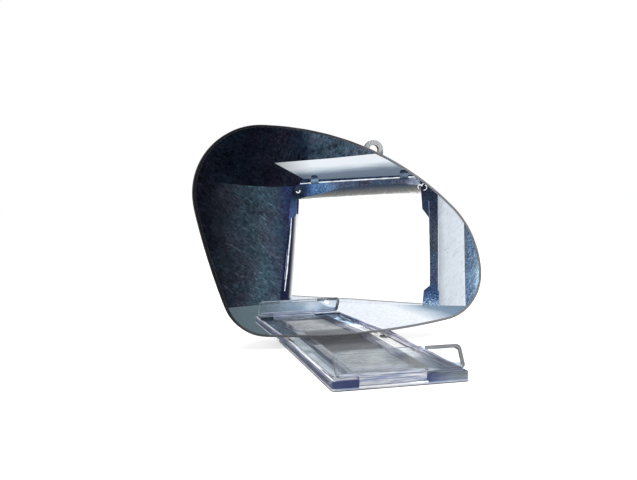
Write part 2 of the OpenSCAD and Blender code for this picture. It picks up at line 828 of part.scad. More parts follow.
base_tray();
rubber_feet();
insert_frame();
ballast_plate();
ballast_tape();
front_flap();
flap_hinge_pin();
back_panel();
hinge_rail();
panel_hinge_pins();
panel_bracket();
panel_screws();
swivel_block();
swivel_pin();
swivel_push_nut();
swivel_washers();
head_bracket();
bracket_screws();
tilt_pin();
tilt_washers();
lock_knob();
knob_insert();
carrier_shell();
adhesive_pad();
mirror_glass();
edge_trim();
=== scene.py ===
# %% [markdown]
# # A small convex traffic mirror on a folding clear stand
# The imported CAD model gives every piece its size and place. This file dresses it: it
# rounds the edges that a mould or a press would round, rebuilds the curved mirror with
# clean smooth faces, and gives each piece the finish of its real material, with painted
# light and shade in the tints of the clear plastic and the ballast sheet. The CAD
# pieces themselves are left alone, because the joints and the sizes belong to them.

import math

import bmesh
import bpy
from mathutils import Matrix, Vector


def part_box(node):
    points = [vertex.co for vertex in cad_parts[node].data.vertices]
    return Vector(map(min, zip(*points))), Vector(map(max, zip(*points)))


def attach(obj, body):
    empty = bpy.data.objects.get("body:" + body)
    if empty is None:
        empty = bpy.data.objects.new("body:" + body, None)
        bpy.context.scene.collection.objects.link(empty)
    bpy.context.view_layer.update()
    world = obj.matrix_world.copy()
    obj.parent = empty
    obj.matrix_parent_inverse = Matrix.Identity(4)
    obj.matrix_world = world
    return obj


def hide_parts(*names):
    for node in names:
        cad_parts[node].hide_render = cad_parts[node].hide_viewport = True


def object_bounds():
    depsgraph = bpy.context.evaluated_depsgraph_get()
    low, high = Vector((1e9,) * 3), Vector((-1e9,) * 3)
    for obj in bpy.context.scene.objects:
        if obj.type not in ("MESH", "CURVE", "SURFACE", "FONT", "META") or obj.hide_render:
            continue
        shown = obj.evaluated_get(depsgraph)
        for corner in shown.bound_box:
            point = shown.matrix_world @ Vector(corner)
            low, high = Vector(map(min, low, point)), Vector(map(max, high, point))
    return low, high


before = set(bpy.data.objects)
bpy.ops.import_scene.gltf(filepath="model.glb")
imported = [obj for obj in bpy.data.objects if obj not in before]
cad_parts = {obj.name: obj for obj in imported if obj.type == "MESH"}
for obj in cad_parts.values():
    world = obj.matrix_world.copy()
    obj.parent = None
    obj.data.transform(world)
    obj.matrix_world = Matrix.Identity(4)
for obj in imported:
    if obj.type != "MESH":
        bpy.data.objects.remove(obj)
cad_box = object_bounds()
print("CAD box, mm:", [round(v * 1000, 1) for corner in cad_box for v in corner])

# %% [markdown]
# ## Shader maths
# A finish is a small network of nodes. It could be wired by hand, one link at a time,
# but then the sums in it are hard to read. So a Wire stands for one output socket, and
# each operator between wires adds a Math node.

# %% Wires
class Wire:
    """One output socket of a finish. Sums with it add Math nodes."""

    def __init__(self, finish, socket):
        self.finish = finish
        self.socket = socket

    def maths(self, operation, first, second):
        return self.finish.node("Math", {"operation": operation}, {0: first, 1: second})

    def __add__(self, other):
        return self.maths("ADD", self, other)

    def __radd__(self, other):
        return self.maths("ADD", other, self)

    def __sub__(self, other):
        return self.maths("SUBTRACT", self, other)

    def __rsub__(self, other):
        return self.maths("SUBTRACT", other, self)

    def __mul__(self, other):
        return self.maths("MULTIPLY", self, other)

    def __rmul__(self, other):
        return self.maths("MULTIPLY", other, self)

    def __gt__(self, other):
        return self.maths("GREATER_THAN", self, other)

# %% [markdown]
# ## A finish
# Every other kind of node comes from one method that takes the node's type, its
# settings and its inputs. The shorter methods below it only save repeating the few
# nodes that nearly every finish needs: a coordinate, a noise, a ramp, a bump.

# %% A finish and its nodes
class Finish:
    """A material, or the world's background, and the nodes that make it."""

    def __init__(self, name, holder=None):
        self.holder = holder or bpy.data.materials.new(name)
        self.holder.use_nodes = True
        self.tree = self.holder.node_tree
        self.tree.nodes.clear()

    def node(self, kind, settings=None, inputs=None, output=0):
        made = self.tree.nodes.new("ShaderNode" + kind)
        for key, value in (settings or {}).items():
            if key == "stops":
                self.set_stops(made.color_ramp, value)
            else:
                setattr(made, key, value)
        for key, value in (inputs or {}).items():
            if isinstance(value, Wire):
                self.tree.links.new(value.socket, made.inputs[key])
            else:
                made.inputs[key].default_value = value
        if not made.outputs:
            return made
        return Wire(self, made.outputs[output])

    @staticmethod
    def set_stops(ramp, stops):
        while len(ramp.elements) < len(stops):
            ramp.elements.new(1.0)
        for element, (place, colour) in zip(ramp.elements, stops):
            element.position = place
            element.color = (*colour, 1.0)

    def place(self, turn=(0, 0, 0), scale=(1, 1, 1)):
        """The piece's own coordinates, turned first and then stretched."""
        own = self.node("TexCoord", output="Object")
        turned = self.node("Mapping", None, {"Vector": own, "Rotation": turn})
        return self.node("Mapping", None, {"Vector": turned, "Scale": scale})

    def axis(self, name):
        """How far along X, Y or Z the shaded spot lies, in metres."""
        return self.node("SeparateXYZ", None, {"Vector": self.place()}, name)

    def span(self, value, low, high, first=0.0, last=1.0):
        """The value's way from low to high, spread from first to last and held at both ends."""
        return self.node("MapRange", None, {
            "Value": value, "From Min": low, "From Max": high, "To Min": first, "To Max": last})

    def larger(self, first, second):
        return self.node("Math", {"operation": "MAXIMUM"}, {0: first, 1: second})

    def noise(self, place, scale, detail=3.0, roughness=0.5, twist=0.0):
        return self.node("TexNoise", None, {
            "Vector": place, "Scale": scale, "Detail": detail, "Roughness": roughness,
            "Distortion": twist}, "Fac")

    def ramp(self, value, *stops):
        return self.node("ValToRGB", {"stops": stops}, {"Fac": value}, "Color")

    def blend(self, amount, first, second):
        """From the first colour to the second."""
        return self.node("Mix", {"data_type": "RGBA"}, {0: amount, 6: first, 7: second}, 2)

    def times(self, first, second):
        """Two colours multiplied."""
        settings = {"data_type": "RGBA", "blend_type": "MULTIPLY"}
        return self.node("Mix", settings, {0: 1.0, 6: first, 7: second}, 2)

    def bump(self, height, strength, distance):
        return self.node("Bump", None, {"Height": height, "Strength": strength, "Distance": distance})

    def done(self, shader):
        self.node("OutputMaterial", None, {"Surface": shader})
        return self.holder

# %% [markdown]
# ## Colours
# Colours are easiest to judge as the values from 0 to 255 that a screen shows. A shader
# wants them as amounts of light, so a helper turns one into the other.

# %% Display colours
def linear(red, green, blue):
    """A colour given as display values from 0 to 255, as the shader wants it."""
    parts = [v / 255 for v in (red, green, blue)]
    return tuple(v / 12.92 if v <= 0.04045 else ((v + 0.055) / 1.055) ** 2.4 for v in parts)


def shades(*stops):
    """Stops for a ramp, each a place from 0 to 1 and a display colour."""
    return [(place, linear(*colour)) for place, colour in stops]


print("mid grey as light:", [round(v, 3) for v in linear(128, 128, 128)])

# %% [markdown]
# ## Camera
# The camera stands a little to the left of the mirror, at about two thirds of its
# height, and looks across the tray. A 40 mm lens gives the same strong narrowing of
# the tray towards the back as a phone held close does.

# %% Camera
lens = bpy.data.cameras.new("camera")
lens.lens = 40.01
lens.sensor_width = 36.0
lens.clip_start = 0.01
lens.clip_end = 50.0
camera = bpy.data.objects.new("camera", lens)
bpy.context.scene.collection.objects.link(camera)
camera.location = (-0.12864, -0.37341, 0.0932)
camera.rotation_euler = (math.radians(85.96), 0.0, math.radians(-15.6))
bpy.context.scene.camera = camera
print("camera", [round(v * 1000) for v in camera.location], "mm, lens", round(lens.lens), "mm")

# %% [markdown]
# ## Light and background
# A soft white world lights the part evenly from all sides. The camera sees it at full
# white, plastic sees it a little dimmer so that its edges stay visible, and polished
# metal sees a studio that is dim near the ground and bright above.

# %% World
scene = bpy.context.scene
scene.view_settings.view_transform = "Standard"
scene.world = bpy.data.worlds.new("studio")
sky = Finish("studio", scene.world)
is_camera = sky.node("LightPath", output="Is Camera Ray")
is_glossy = sky.node("LightPath", output="Is Glossy Ray")
is_clear = sky.node("LightPath", output="Is Transmission Ray")
upward = sky.node("SeparateXYZ", None, {"Vector": sky.node("TexCoord", output="Generated")}, "Z")
fill_level = 0.62
clear_level = 0.78
dim_level = 0.16
studio_wall = sky.span(upward, 0.18, 0.62, dim_level, 1.0)
plain = is_camera * (1.0 - fill_level) + is_clear * (clear_level - fill_level) + fill_level
strength = plain * (1.0 - is_glossy) + studio_wall * is_glossy
sky.node("OutputWorld", None, {"Surface": sky.node(
    "Background", None, {"Color": (1.0, 1.0, 1.0, 1.0), "Strength": strength})})
print("world: light", fill_level, "through plastic", clear_level, "low in metal", dim_level)

# %% [markdown]
# ## Lamps
# Two large soft discs give the part a top and a side. Small or strong lamps would draw
# hard spots in the clear plastic, so these are wide and weak, and neither a reflection
# nor the view through the plastic shows them.

# %% Lamps
def soft_lamp(name, place, aim, size, power):
    lamp = bpy.data.lights.new(name, "AREA")
    lamp.shape = "DISK"
    lamp.size = size
    lamp.energy = power
    holder = bpy.data.objects.new(name, lamp)
    holder.location = place
    holder.rotation_euler = (Vector(aim) - Vector(place)).to_track_quat("-Z", "Y").to_euler()
    holder.visible_glossy = False
    holder.visible_camera = False
    holder.visible_transmission = False
    scene.collection.objects.link(holder)
    print(name, power, "W, disc", size, "m")


soft_lamp("top_lamp", (-0.15, -0.25, 0.9), (0.0, 0.0, 0.03), 0.7, 5.5)
soft_lamp("side_lamp", (0.8, 0.35, 0.5), (0.0, 0.02, 0.05), 0.5, 2.2)

# %% [markdown]
# ## Floor
# The part stands on white paper. Paper lit by the lamps alone would look grey, so it
# also glows a little for the camera and for the view through the clear tray. Its soft
# shadow comes from the lit share. Reflections have a floor of their own further down.

# %% Floor
floor_height = cad_box[0].z
paper_drop = 0.00002
form = bmesh.new()
bmesh.ops.create_grid(form, x_segments=1, y_segments=1, size=3.0)
bmesh.ops.translate(form, verts=form.verts, vec=(0, 0, floor_height - paper_drop))
sheet = bpy.data.meshes.new("floor")
form.to_mesh(sheet)
form.free()
floor = bpy.data.objects.new("floor", sheet)
scene.collection.objects.link(floor)
paper = Finish("floor_paper")
grain = paper.noise(paper.place(), 60.0)
tint = paper.blend(grain, (0.80, 0.80, 0.80, 1), (0.82, 0.82, 0.82, 1))
matt = paper.node("BsdfDiffuse", None, {"Color": tint})
seen_by_camera = 0.5
seen_through_plastic = 0.84
seen = (paper.node("LightPath", output="Is Camera Ray") * seen_by_camera
        + paper.node("LightPath", output="Is Transmission Ray") * seen_through_plastic)
lit = paper.node("Emission", None, {"Color": (1, 1, 1, 1), "Strength": seen})
sheet.materials.append(paper.done(paper.node("AddShader", None, {0: matt, 1: lit})))
floor.visible_glossy = False
print("floor at", round(floor_height * 1000, 2), "mm")

# %% [markdown]
# ## The room in the mirror
# A mirror is only as good as what it reflects. A whole furnished room could be built,
# but it would cost much and show little. Flat cards stand where the walls, the window
# and the ceiling light of a small room would be. Only reflections see them: they cast
# no shadow and the camera looks straight past them. Each wall has its own direction
# along the ground and its own way inwards, towards the mirror.

# %% Cards for reflections
room_corner = Vector((0.034, -0.172, 0.0))
front_turn = math.radians(39.4)
left_turn = math.radians(164.7)
front_way = Vector((math.cos(front_turn), math.sin(front_turn), 0.0))
left_way = Vector((math.cos(left_turn), math.sin(left_turn), 0.0))
front_in = Vector((-front_way.y, front_way.x, 0.0))
left_in = Vector((left_way.y, -left_way.x, 0.0))


def card(name, corners, finish):
    form = bmesh.new()
    form.faces.new([form.verts.new(corner) for corner in corners])
    sheet = bpy.data.meshes.new(name)
    form.to_mesh(sheet)
    form.free()
    sheet.materials.append(finish)
    board = bpy.data.objects.new(name, sheet)
    scene.collection.objects.link(board)
    board.visible_camera = False
    board.visible_diffuse = False
    board.visible_shadow = False
    board.visible_volume_scatter = False
    print("card", name, "with", len(corners), "corners")


def wall_patch(name, spots, finish, lift=0.0, way=front_way, inward=front_in):
    """A card on a wall: spots are millimetres along it and up, lift is towards the mirror."""
    corners = [room_corner + way * (along / 1000) + inward * (lift / 1000) + Vector((0, 0, up / 1000))
               for along, up in spots]
    card(name, corners, finish)


def left_patch(name, spots, finish, lift=0.0):
    wall_patch(name, spots, finish, lift, left_way, left_in)


print("room corner, mm:", [round(v * 1000) for v in room_corner])

# %% [markdown]
# ## Light from the cards
# Real walls are lit by the room. Cards that glow by themselves need no lamps and can't
# disturb the light on the part, so their colour is exactly what the mirror shows. A
# worn wall gets clouds, stains and long scratches, because an even colour in a mirror
# looks like a hole in it.

# %% Glowing finishes
silver_level = 0.9


def glow(made, colour, strength=1.0):
    """A lit surface. The silvering takes a tenth of the light, so the card gives it back.
    Light that has not been reflected yet passes through the card."""
    lit = made.node("Emission", None, {"Color": colour, "Strength": strength * (1.0 / silver_level)})
    mirrored = made.node("LightPath", output="Glossy Depth") > 0.5
    unseen = made.node("BsdfTransparent")
    return made.done(made.node("MixShader", None, {0: mirrored, 1: unseen, 2: lit}))


def plain_glow(name, colour, spread=0.08):
    """One colour that drifts a little darker and lighter."""
    made = Finish(name)
    cloud = made.noise(made.place(), 220.0, 3.0)
    low = [v * (1 - spread) for v in linear(*colour)]
    high = [v * (1 + spread) for v in linear(*colour)]
    return glow(made, made.ramp(cloud, (0.35, low), (0.65, high)))


def worn_glow(name, stops, axis, reach, grain=0.35, strands=8.0, turn=(0, -0.8, 0), size=120.0,
              fall=None, stain=True):
    """A dim wall: its colour runs along one axis, with clouds, stains and long light scratches.
    Fall gives the heights between which it darkens upwards, and what is left at the top."""
    made = Finish(name)
    here = made.place()
    cloud = made.noise(here, 30.0, 4.0, 0.6)
    fine = made.noise(here, size * 2.2, 5.0, 0.7)
    hair = made.noise(made.place(turn, (1, 1, 11)), size, 4.0, 0.65, 0.5)
    sweep = made.noise(made.place((turn[0], turn[1] * 0.6, turn[2]), (1, 1, 7)), size * 0.6, 5.0, 0.7, 1.6)
    shift = (reach[1] - reach[0]) * 0.24
    level = made.span(made.axis(axis) + (cloud - 0.5) * shift, reach[0], reach[1])
    base = made.ramp(level, *shades(*stops))
    if stain:
        patches = made.noise(here, 42.0, 3.0)
        patch = made.ramp(patches, (0.42, (1.12, 0.90, 0.92)), (0.58, (0.98, 1.02, 1.0)))
        base = made.times(base, patch)
    scratch = made.larger(made.larger(hair, sweep) - 0.57, 0.0)
    marks = (fine - 0.5) * (grain * 5.0) + (cloud - 0.5) * (grain * 2.5) + scratch * strands + 1.0
    if fall:
        low, high, left = fall
        marks = marks * made.span(made.axis("Z"), low, high, 1.0, left)
    return glow(made, base, made.larger(marks, 0.05))


print("the cards give back", round(1.0 / silver_level, 2), "of their colour")

# %% [markdown]
# ## Window
# The bright glass is one even white card, set a few millimetres behind its frame. It
# is a little over full white so that it stays white after the silvering took its share.

# %% Window
white = (1, 1, 1, 1)
window_level = 1.2
wall_patch("window_light", [(-9, -6), (150, -6), (150, 112), (1, 112)],
           glow(Finish("window_light"), white, window_level), -6.0)

# %% [markdown]
# ## Lintel
# A painted beam runs above the glass, blue at its left end where daylight reaches it.
# Its underside is lost in the glare of the glass, so a second card over its lower edge
# fades from navy through grey to white. A dark gap and a bright line show where the
# beam meets the ceiling light.

# %% Lintel
navy_stops = ((0.0, (28, 40, 56)), (0.06, (38, 54, 84)), (0.14, (70, 98, 140)), (0.24, (82, 108, 140)),
              (0.34, (62, 74, 94)), (0.62, (60, 70, 88)), (0.70, (72, 84, 100)), (0.76, (122, 142, 158)),
              (0.84, (70, 84, 98)))
wall_patch("lintel", [(-1, 106), (26, 107), (80, 107.5), (110, 106.8), (132, 104), (160, 104), (160, 126),
                      (124, 121), (80, 121.4), (27, 122.2), (4, 122.2), (-2, 119)],
           worn_glow("lintel", navy_stops, "X", (0.032, 0.16), 0.9, 22.0, (0, 0.9, 0), 300.0), 2.0)


def glare_under_lintel():
    """Grey, then white, towards the glass."""
    made = Finish("lintel_edge")
    dust = made.noise(made.place(), 400.0, 4.0, 0.7)
    fade = made.span(made.axis("Z") + (dust - 0.5) * 0.005, 0.1048, 0.1152)
    return glow(made, made.ramp(fade, *shades(
        (0.0, (240, 238, 236)), (0.12, (176, 172, 166)), (0.30, (128, 127, 122)),
        (0.55, (100, 102, 106)), (0.80, (70, 78, 92)), (1.0, (54, 66, 84)))))


wall_patch("lintel_edge", [(2, 105.4), (26, 106.0), (80, 105.8), (110, 105.4), (131, 103.8), (131, 112),
                           (110, 115.0), (80, 115.4), (48, 114.4), (30, 110.4), (10, 107.6)],
           glare_under_lintel(), 2.6)
wall_patch("lintel_gap", [(4, 122.4), (27, 122.4), (80, 121.4), (124, 120.8), (160, 121.6), (160, 123),
                          (124, 122.4), (80, 123.6), (30, 124.7), (9, 126.9)],
           plain_glow("lintel_gap", (34, 48, 68), 0.6), 2.6)
wall_patch("lintel_line", [(6, 121.4), (27, 121.3), (80, 120.5), (124, 119.9), (140, 120.4), (140, 121.2),
                           (124, 121.0), (80, 121.7), (27, 122.4), (6, 122.3)],
           plain_glow("lintel_line", (236, 242, 248), 0.3), 3.2)

# %% [markdown]
# ## Clips and screws
# Two small clips hold the ceiling light, and a screw sits at each end of the lintel. At
# this size a clip is a rounded card with a light band, and all that shows of a screw is
# the bright crescent on its rounded head.

# %% Clips and screws
clip_stops = ((0.0, (30, 44, 66)), (0.45, (120, 140, 160)), (0.7, (52, 64, 84)), (1.0, (24, 34, 46)))
clip_outline = ((-4.4, -3.8), (4.4, -3.8), (3.9, 3.4), (1.8, 5.2), (-2.8, 5.2), (-3.9, 3.4))
for clip_name, along, height in (("left_clip", 22.6, 124.2), ("right_clip", 115.3, 122.4)):
    clip_reach = (height / 1000 - 0.0038, height / 1000 + 0.0052)
    wall_patch(clip_name, [(along + side, height + up) for side, up in clip_outline],
               worn_glow(clip_name, clip_stops, "Z", clip_reach, 0.8, size=400.0), 4.0)


def curl(name, along, height, opening, size, width, sweep=1.25):
    """The crescent: from the opening angle it sweeps round, in half turns."""
    turns = [opening + math.pi * sweep * k / 10 for k in range(11)]
    inner = size - width
    bow = [(along + size * math.cos(t), height - size * math.sin(t)) for t in turns]
    bow += [(along + inner * math.cos(t), height - inner * math.sin(t)) for t in reversed(turns)]
    wall_patch(name, bow, plain_glow(name, (240, 244, 246)), 4.4)


wall_patch("left_screw_dark", [(1.6, 109.6), (5.6, 109.6), (8, 112), (8, 116.6), (5.6, 119), (1.6, 119),
                               (-0.6, 116.6), (-0.6, 112)],
           worn_glow("left_screw_dark", ((0, (26, 36, 46)), (1, (48, 64, 78))), "Z", (0.110, 0.119), 0.9,
                     16.0, size=420.0), 3.0)
curl("left_screw", 3.9, 114.5, -0.3, 2.6, 1.3, 1.05)
curl("right_screw", 130.5, 110.4, 2.2, 2.5, 0.9)
curl("right_screw_low", 134.5, 109.6, 5.0, 2.8, 0.8, 1.0)
curl("right_screw_top", 131.5, 114.2, 0.3, 2.7, 0.9, 0.8)

# %% [markdown]
# ## Left jamb
# The window's left post is navy, with a bright seal down its middle. Its inner edge
# stands in the glare of the glass and fades to white over a few millimetres, along a
# line that leans with the post.

# %% Left jamb
jamb_stops = ((0.0, (30, 36, 60)), (0.30, (27, 33, 60)), (0.68, (32, 38, 62)), (0.82, (66, 80, 120)),
              (0.95, (58, 72, 104)), (1.0, (38, 50, 64)))
wall_patch("left_jamb", [(-24, -6), (-9.4, -6), (-8.4, 11), (-7.0, 32), (-5.0, 63), (1.2, 90), (2.0, 108),
                         (-14, 112), (-24, 60)],
           worn_glow("left_jamb", jamb_stops, "Z", (0.0, 0.106), 0.5, 14.0, (0, -0.9, 0), 260.0), 2.0)


def glare_beside_jamb():
    """Navy, then grey, then the white of the glass."""
    made = Finish("left_shade")
    lean = 0.07
    haze = made.span(made.axis("X") - made.axis("Z") * lean, 0.0220, 0.0278)
    return glow(made, made.ramp(haze, *shades(
        (0.0, (30, 34, 56)), (0.30, (36, 38, 52)), (0.46, (84, 86, 92)),
        (0.62, (150, 150, 152)), (0.8, (214, 212, 208)), (1.0, (255, 255, 255)))), window_level)


wall_patch("left_shade", [(-14.0, 2), (-4.8, 3), (-3.6, 11), (-2.1, 32), (0.3, 63), (2.2, 90),
                          (0.8, 91), (-0.6, 88), (-5.0, 87), (-6.8, 69), (-9.6, 48), (-11.2, 32),
                          (-14.0, 10)], glare_beside_jamb(), 2.6)
wall_patch("left_line", [(-14.8, 10), (-11.9, 32), (-10.2, 48), (-7.4, 69), (-5.3, 87), (-4.7, 87),
                         (-6.2, 69), (-8.8, 48), (-10.5, 32), (-13.8, 10)],
           plain_glow("left_line", (240, 246, 250), 0.35), 3.2)
wall_patch("left_line_thin", [(-14.6, 22), (-12.8, 38), (-11.0, 54), (-10.6, 54), (-12.3, 38), (-14.1, 22)],
           plain_glow("left_line_thin", (150, 160, 172), 0.4), 3.2)

# %% [markdown]
# ## Right post and sill
# The right post is thin in the middle and has a thicker head and foot. Its foot
# sparkles in the light of the pale sill, a flat strip that ends in a fine grey line.

# %% Right post and sill
post_stops = ((0.0, (58, 82, 128)), (0.2, (60, 76, 104)), (0.6, (64, 74, 86)), (0.85, (44, 54, 74)),
              (1.0, (34, 42, 58)))
wall_patch("right_post", [(129.9, -6), (145.2, -6), (145.4, 32), (145.8, 60), (146.7, 98), (147.4, 116),
                          (130.6, 116), (131, 104), (131.4, 90), (137.4, 81.5), (137.6, 46),
                          (137.5, 18), (131.7, 13.4)],
           worn_glow("right_post", post_stops, "Z", (0.0, 0.105), 0.9, 22.0, (0, 1.3, 0), 380.0), 2.2)
wall_patch("post_line", [(137.6, 60), (138.2, 60), (138.4, 97), (137.8, 97)],
           plain_glow("post_line", (118, 130, 156), 0.5), 3.0)
wall_patch("post_foot", [(130.4, -4), (146.4, -4), (146.6, 13), (137.6, 16.6), (131.8, 12.4)],
           worn_glow("post_foot", ((0, (128, 150, 178)), (0.35, (74, 98, 134)), (1, (44, 60, 92))), "Z",
                     (0.0, 0.016), 1.3, 60.0, (0, 0.2, 0), 460.0, stain=False), 3.4)
wall_patch("sill", [(-7, -4), (131, -4), (131, 0.8), (60, 4.0), (-6, 5.4)],
           worn_glow("sill", ((0, (226, 230, 236)), (1, (236, 238, 243))), "X", (0.03, 0.13), 0.08, 0.8,
                     (0, 1.5, 0), 90.0, stain=False), 3.0)
wall_patch("sill_line", [(-6, 4.8), (60, 3.4), (131, 0.2), (131, 1.2), (60, 4.4), (-6, 5.8)],
           plain_glow("sill_line", (158, 156, 152), 0.15), 3.6)

# %% [markdown]
# ## Ceiling light
# A flat light panel hangs over the window. It is bright at the back, dims in a soft
# band towards the lintel, and its left end is darker because it lies furthest away.

# %% Ceiling light
def panel_light():
    made = Finish("ceiling_panel")
    streak = made.noise(made.place((0, 0, -0.69), (1, 1, 12)), 40.0, 3.0)
    up = made.axis("Z")
    fade = made.span(up + (streak - 0.5) * 0.004, 0.124, 0.148)
    left_end = made.span(made.axis("X") + up * 0.3, 0.056, 0.090, 0.36, 1.0)
    return glow(made, made.ramp(fade, *shades(
        (0.0, (104, 116, 132)), (0.26, (116, 128, 144)), (0.36, (154, 165, 177)),
        (0.48, (206, 215, 221)), (0.60, (236, 239, 243)), (1.0, (240, 242, 246)))), left_end)


wall_patch("ceiling_panel", [(-24, 146.8), (39, 145.8), (92, 146.2), (170, 144), (170, 121), (111, 121),
                             (49, 122), (24, 123.6), (9, 126.9)], panel_light(), 0.6)

# %% [markdown]
# ## Door and far wall
# Right of the window stands a white door in daylight, and past it the room's far wall,
# blue grey with many fine light scratches.

# %% Door and far wall
door_stops = ((0, (178, 184, 192)), (0.25, (216, 222, 228)), (0.9, (224, 229, 236)), (1, (240, 244, 250)))
wall_patch("door_light", [(145, -4), (171.6, -4), (170.5, 32), (170.4, 70), (170, 120), (147, 120)],
           worn_glow("door_light", door_stops, "X", (0.146, 0.166), 0.06, -2.4, (0, 1.3, 0), 130.0,
                     stain=False), 1.4)
far_stops = ((0.0, (84, 104, 130)), (0.30, (100, 122, 146)), (0.55, (146, 168, 182)),
             (0.8, (118, 140, 156)), (1.0, (100, 122, 140)))
wall_patch("far_right", [(171, -4), (260, -4), (260, 330), (150, 330), (150, 121), (171, 121)],
           worn_glow("far_right", far_stops, "X", (0.166, 0.184), 0.6, 34.0, (0, 1.3, 0), 240.0,
                     fall=(0.03, 0.10, 0.6), stain=False), 0.4)

# %% [markdown]
# ## Walls
# Left of the window the room is dark. A lit wall could be rendered with real lamps, but
# its stains and wiping marks are what the eye knows it by, so they come from the noise
# in the card. Behind it and above the window, darker cards close the room.

# %% Walls
wall_stops = ((0.0, (15, 18, 26)), (0.24, (18, 22, 30)), (0.36, (29, 35, 43)), (0.50, (42, 51, 61)),
              (0.70, (58, 73, 84)), (0.88, (54, 70, 84)), (1.0, (38, 46, 76)))
left_patch("left_wall", [(4, 120), (8.4, 100), (11.6, 74), (17.1, 43), (21.1, 12.6), (23, -4), (190, -4),
                         (190, 124), (100, 121), (60, 118.6), (30, 118)],
           worn_glow("left_wall", wall_stops, "X", (-0.085, 0.024), 0.6, 22.0, fall=(0.0, 0.10, 0.86)))
dark_stops = ((0.0, (16, 20, 28)), (0.2, (14, 22, 32)), (0.35, (13, 16, 25)), (0.6, (25, 29, 40)),
              (0.72, (23, 31, 45)), (0.82, (56, 70, 84)), (1.0, (66, 82, 96)))
left_patch("left_dark", [(-60, -4), (200, -4), (200, 330), (-60, 330)],
           worn_glow("left_dark", dark_stops, "X", (-0.07, 0.10), 0.8, 14.0, (0, -0.2, 0)), -26.0)
wall_patch("right_dark", [(-30, 120), (260, 120), (260, 330), (-30, 330)],
           worn_glow("right_dark", dark_stops, "X", (-0.07, 0.09), 0.8, 16.0, (0, 1.3, 0)), -10.0)

# %% [markdown]
# ## Side walls
# When the head swivels, the mirror looks past the window. Two upright cards to the west
# and the east keep the room closed at those poses.

# %% Side walls
def upright(name, start, end, low, high, finish):
    """An upright card between two spots on the ground, in millimetres."""
    corners = [(*start, low), (*end, low), (*end, high), (*start, high)]
    card(name, [Vector(corner) / 1000 for corner in corners], finish)


room_height = 330
west_stops = ((0, (30, 38, 50)), (1, (84, 100, 116)))
upright("west_wall", (-150, -121), (-290, 100), -3, room_height,
        worn_glow("west_wall", west_stops, "Y", (-0.12, 0.1)))
east_stops = ((0, (110, 136, 160)), (1, (196, 210, 222)))
upright("east_wall", (234, -8), (300, 130), -3, room_height,
        worn_glow("east_wall", east_stops, "Y", (0.0, 0.13)))

# %% [markdown]
# ## Ground and ceiling
# The mirror sees the shelf that the part stands on: teal and dim on the left, nearly
# white in front of the window, blue again on the right. The white paper floor is hidden
# from reflections, so these cards can have their own colour.

# %% Ground and ceiling
def level_card(name, corners, height, finish):
    """A level card; its corners are given in metres."""
    card(name, [(x, y, height) for x, y in corners], finish)


def shelf_glow():
    made = Finish("room_ground")
    cloud = made.noise(made.place(), 26.0, 4.0)
    fine = made.noise(made.place(), 330.0, 5.0, 0.7)
    hair = made.noise(made.place((0, 0, 0.7), (1, 9, 1)), 110.0, 4.0, 0.6, 0.5)
    across = made.axis("X") + made.axis("Y") * 0.12
    shade = made.ramp(made.span(across + cloud * 0.016 + fine * 0.010, -0.06, 0.17), *shades(
        (0.0, (84, 97, 103)), (0.20, (100, 115, 122)), (0.34, (156, 174, 190)), (0.46, (236, 239, 245)),
        (0.72, (244, 246, 250)), (0.79, (196, 208, 219)), (0.85, (132, 152, 172)), (1.0, (118, 138, 156))))
    return glow(made, shade, (fine - 0.5) * 0.4 + (hair - 0.5) * 0.55 + 1.03)


ground_height = floor_height + 0.0001
room_outline = ((-0.35, -0.3), (0.34, -0.3), (0.34, 0.12), (-0.35, 0.12))
level_card("room_ground", room_outline, ground_height, shelf_glow())
level_card("room_top", room_outline, room_height / 1000, plain_glow("room_top", (214, 222, 228)))

# %% [markdown]
# ## Ground below the tray
# In the mirror the shelf is seen through the clear tray. Behind the painted shade of the
# tray's front right corner it would turn nearly black, yet on the real stand light comes
# in from the side there. A small card below the tray is brighter behind that corner, as
# painted light that makes up for it.

# %% Ground below the tray
def shelf_below_tray():
    made = Finish("under_tray")
    across = made.axis("X")
    fine = made.noise(made.place((0, 0, 0), (1, 0.2, 1)), 500.0, 4.0, 0.6)
    shade = made.ramp(made.span(across + (fine - 0.5) * 0.012, -0.03, 0.03), *shades(
        (0.0, (128, 142, 152)), (0.55, (150, 164, 174)), (0.72, (236, 240, 246)), (1.0, (252, 253, 255))))
    # Painted light behind the painted shade of the tray's front right corner.
    behind_painted_shade = made.span(across, 0.003, 0.012) * made.span(made.axis("Y"), -0.012, -0.022)
    extra = 13.0
    return glow(made, shade, behind_painted_shade * extra + 1.0)


under_height = ground_height + 0.0001
under_outline = ((-0.034, -0.061), (0.034, -0.061), (0.034, 0.05), (-0.034, 0.05))
level_card("under_tray", under_outline, under_height, shelf_below_tray())

# %% [markdown]
# ## Clear plastic
# Clear polystyrene lets nearly all light through. What gives it away is its cool tint,
# the fine wiping scratches and the slightly uneven skin that a mould leaves. One recipe
# makes every clear finish, and its arguments say how deep the tint is and how the flow
# lines run.

# %% Clear plastic
def clear_styrene(name, deep, pale, clarity, scuff=0.05, streaks=None, tint=None, bend=1.5, sharp=0.15,
                  dull=None):
    """Streaks give the coordinates of fine flow lines, tint a colour to multiply with.
    A low bend stands for the flat faces that carry a dull matt texture and show little glare.
    Dull adds roughness where the plastic is worn."""
    made = Finish(name)
    here = made.place()
    haze = made.noise(here, 90.0, 4.0)
    if streaks:
        haze = made.noise(made.place(*streaks), 60.0, 3.0, 0.6)
    wipe = made.noise(made.place((0, 0, 0.5), (1, 30, 1)), 120.0, 3.0)
    colour = made.ramp(haze, (0.5 - sharp, deep), (0.5 + sharp, pale))
    if tint:
        colour = made.times(colour, tint(made))
    rough = wipe * scuff + haze * scuff * 0.5
    if dull:
        rough = rough + dull(made)
    skin = made.bump(made.noise(here, 160.0, 2.0), 0.12, 0.0002)
    return made.done(made.node("BsdfPrincipled", None, {
        "Base Color": colour, "Roughness": rough, "IOR": bend, "Transmission Weight": clarity,
        "Normal": skin}))
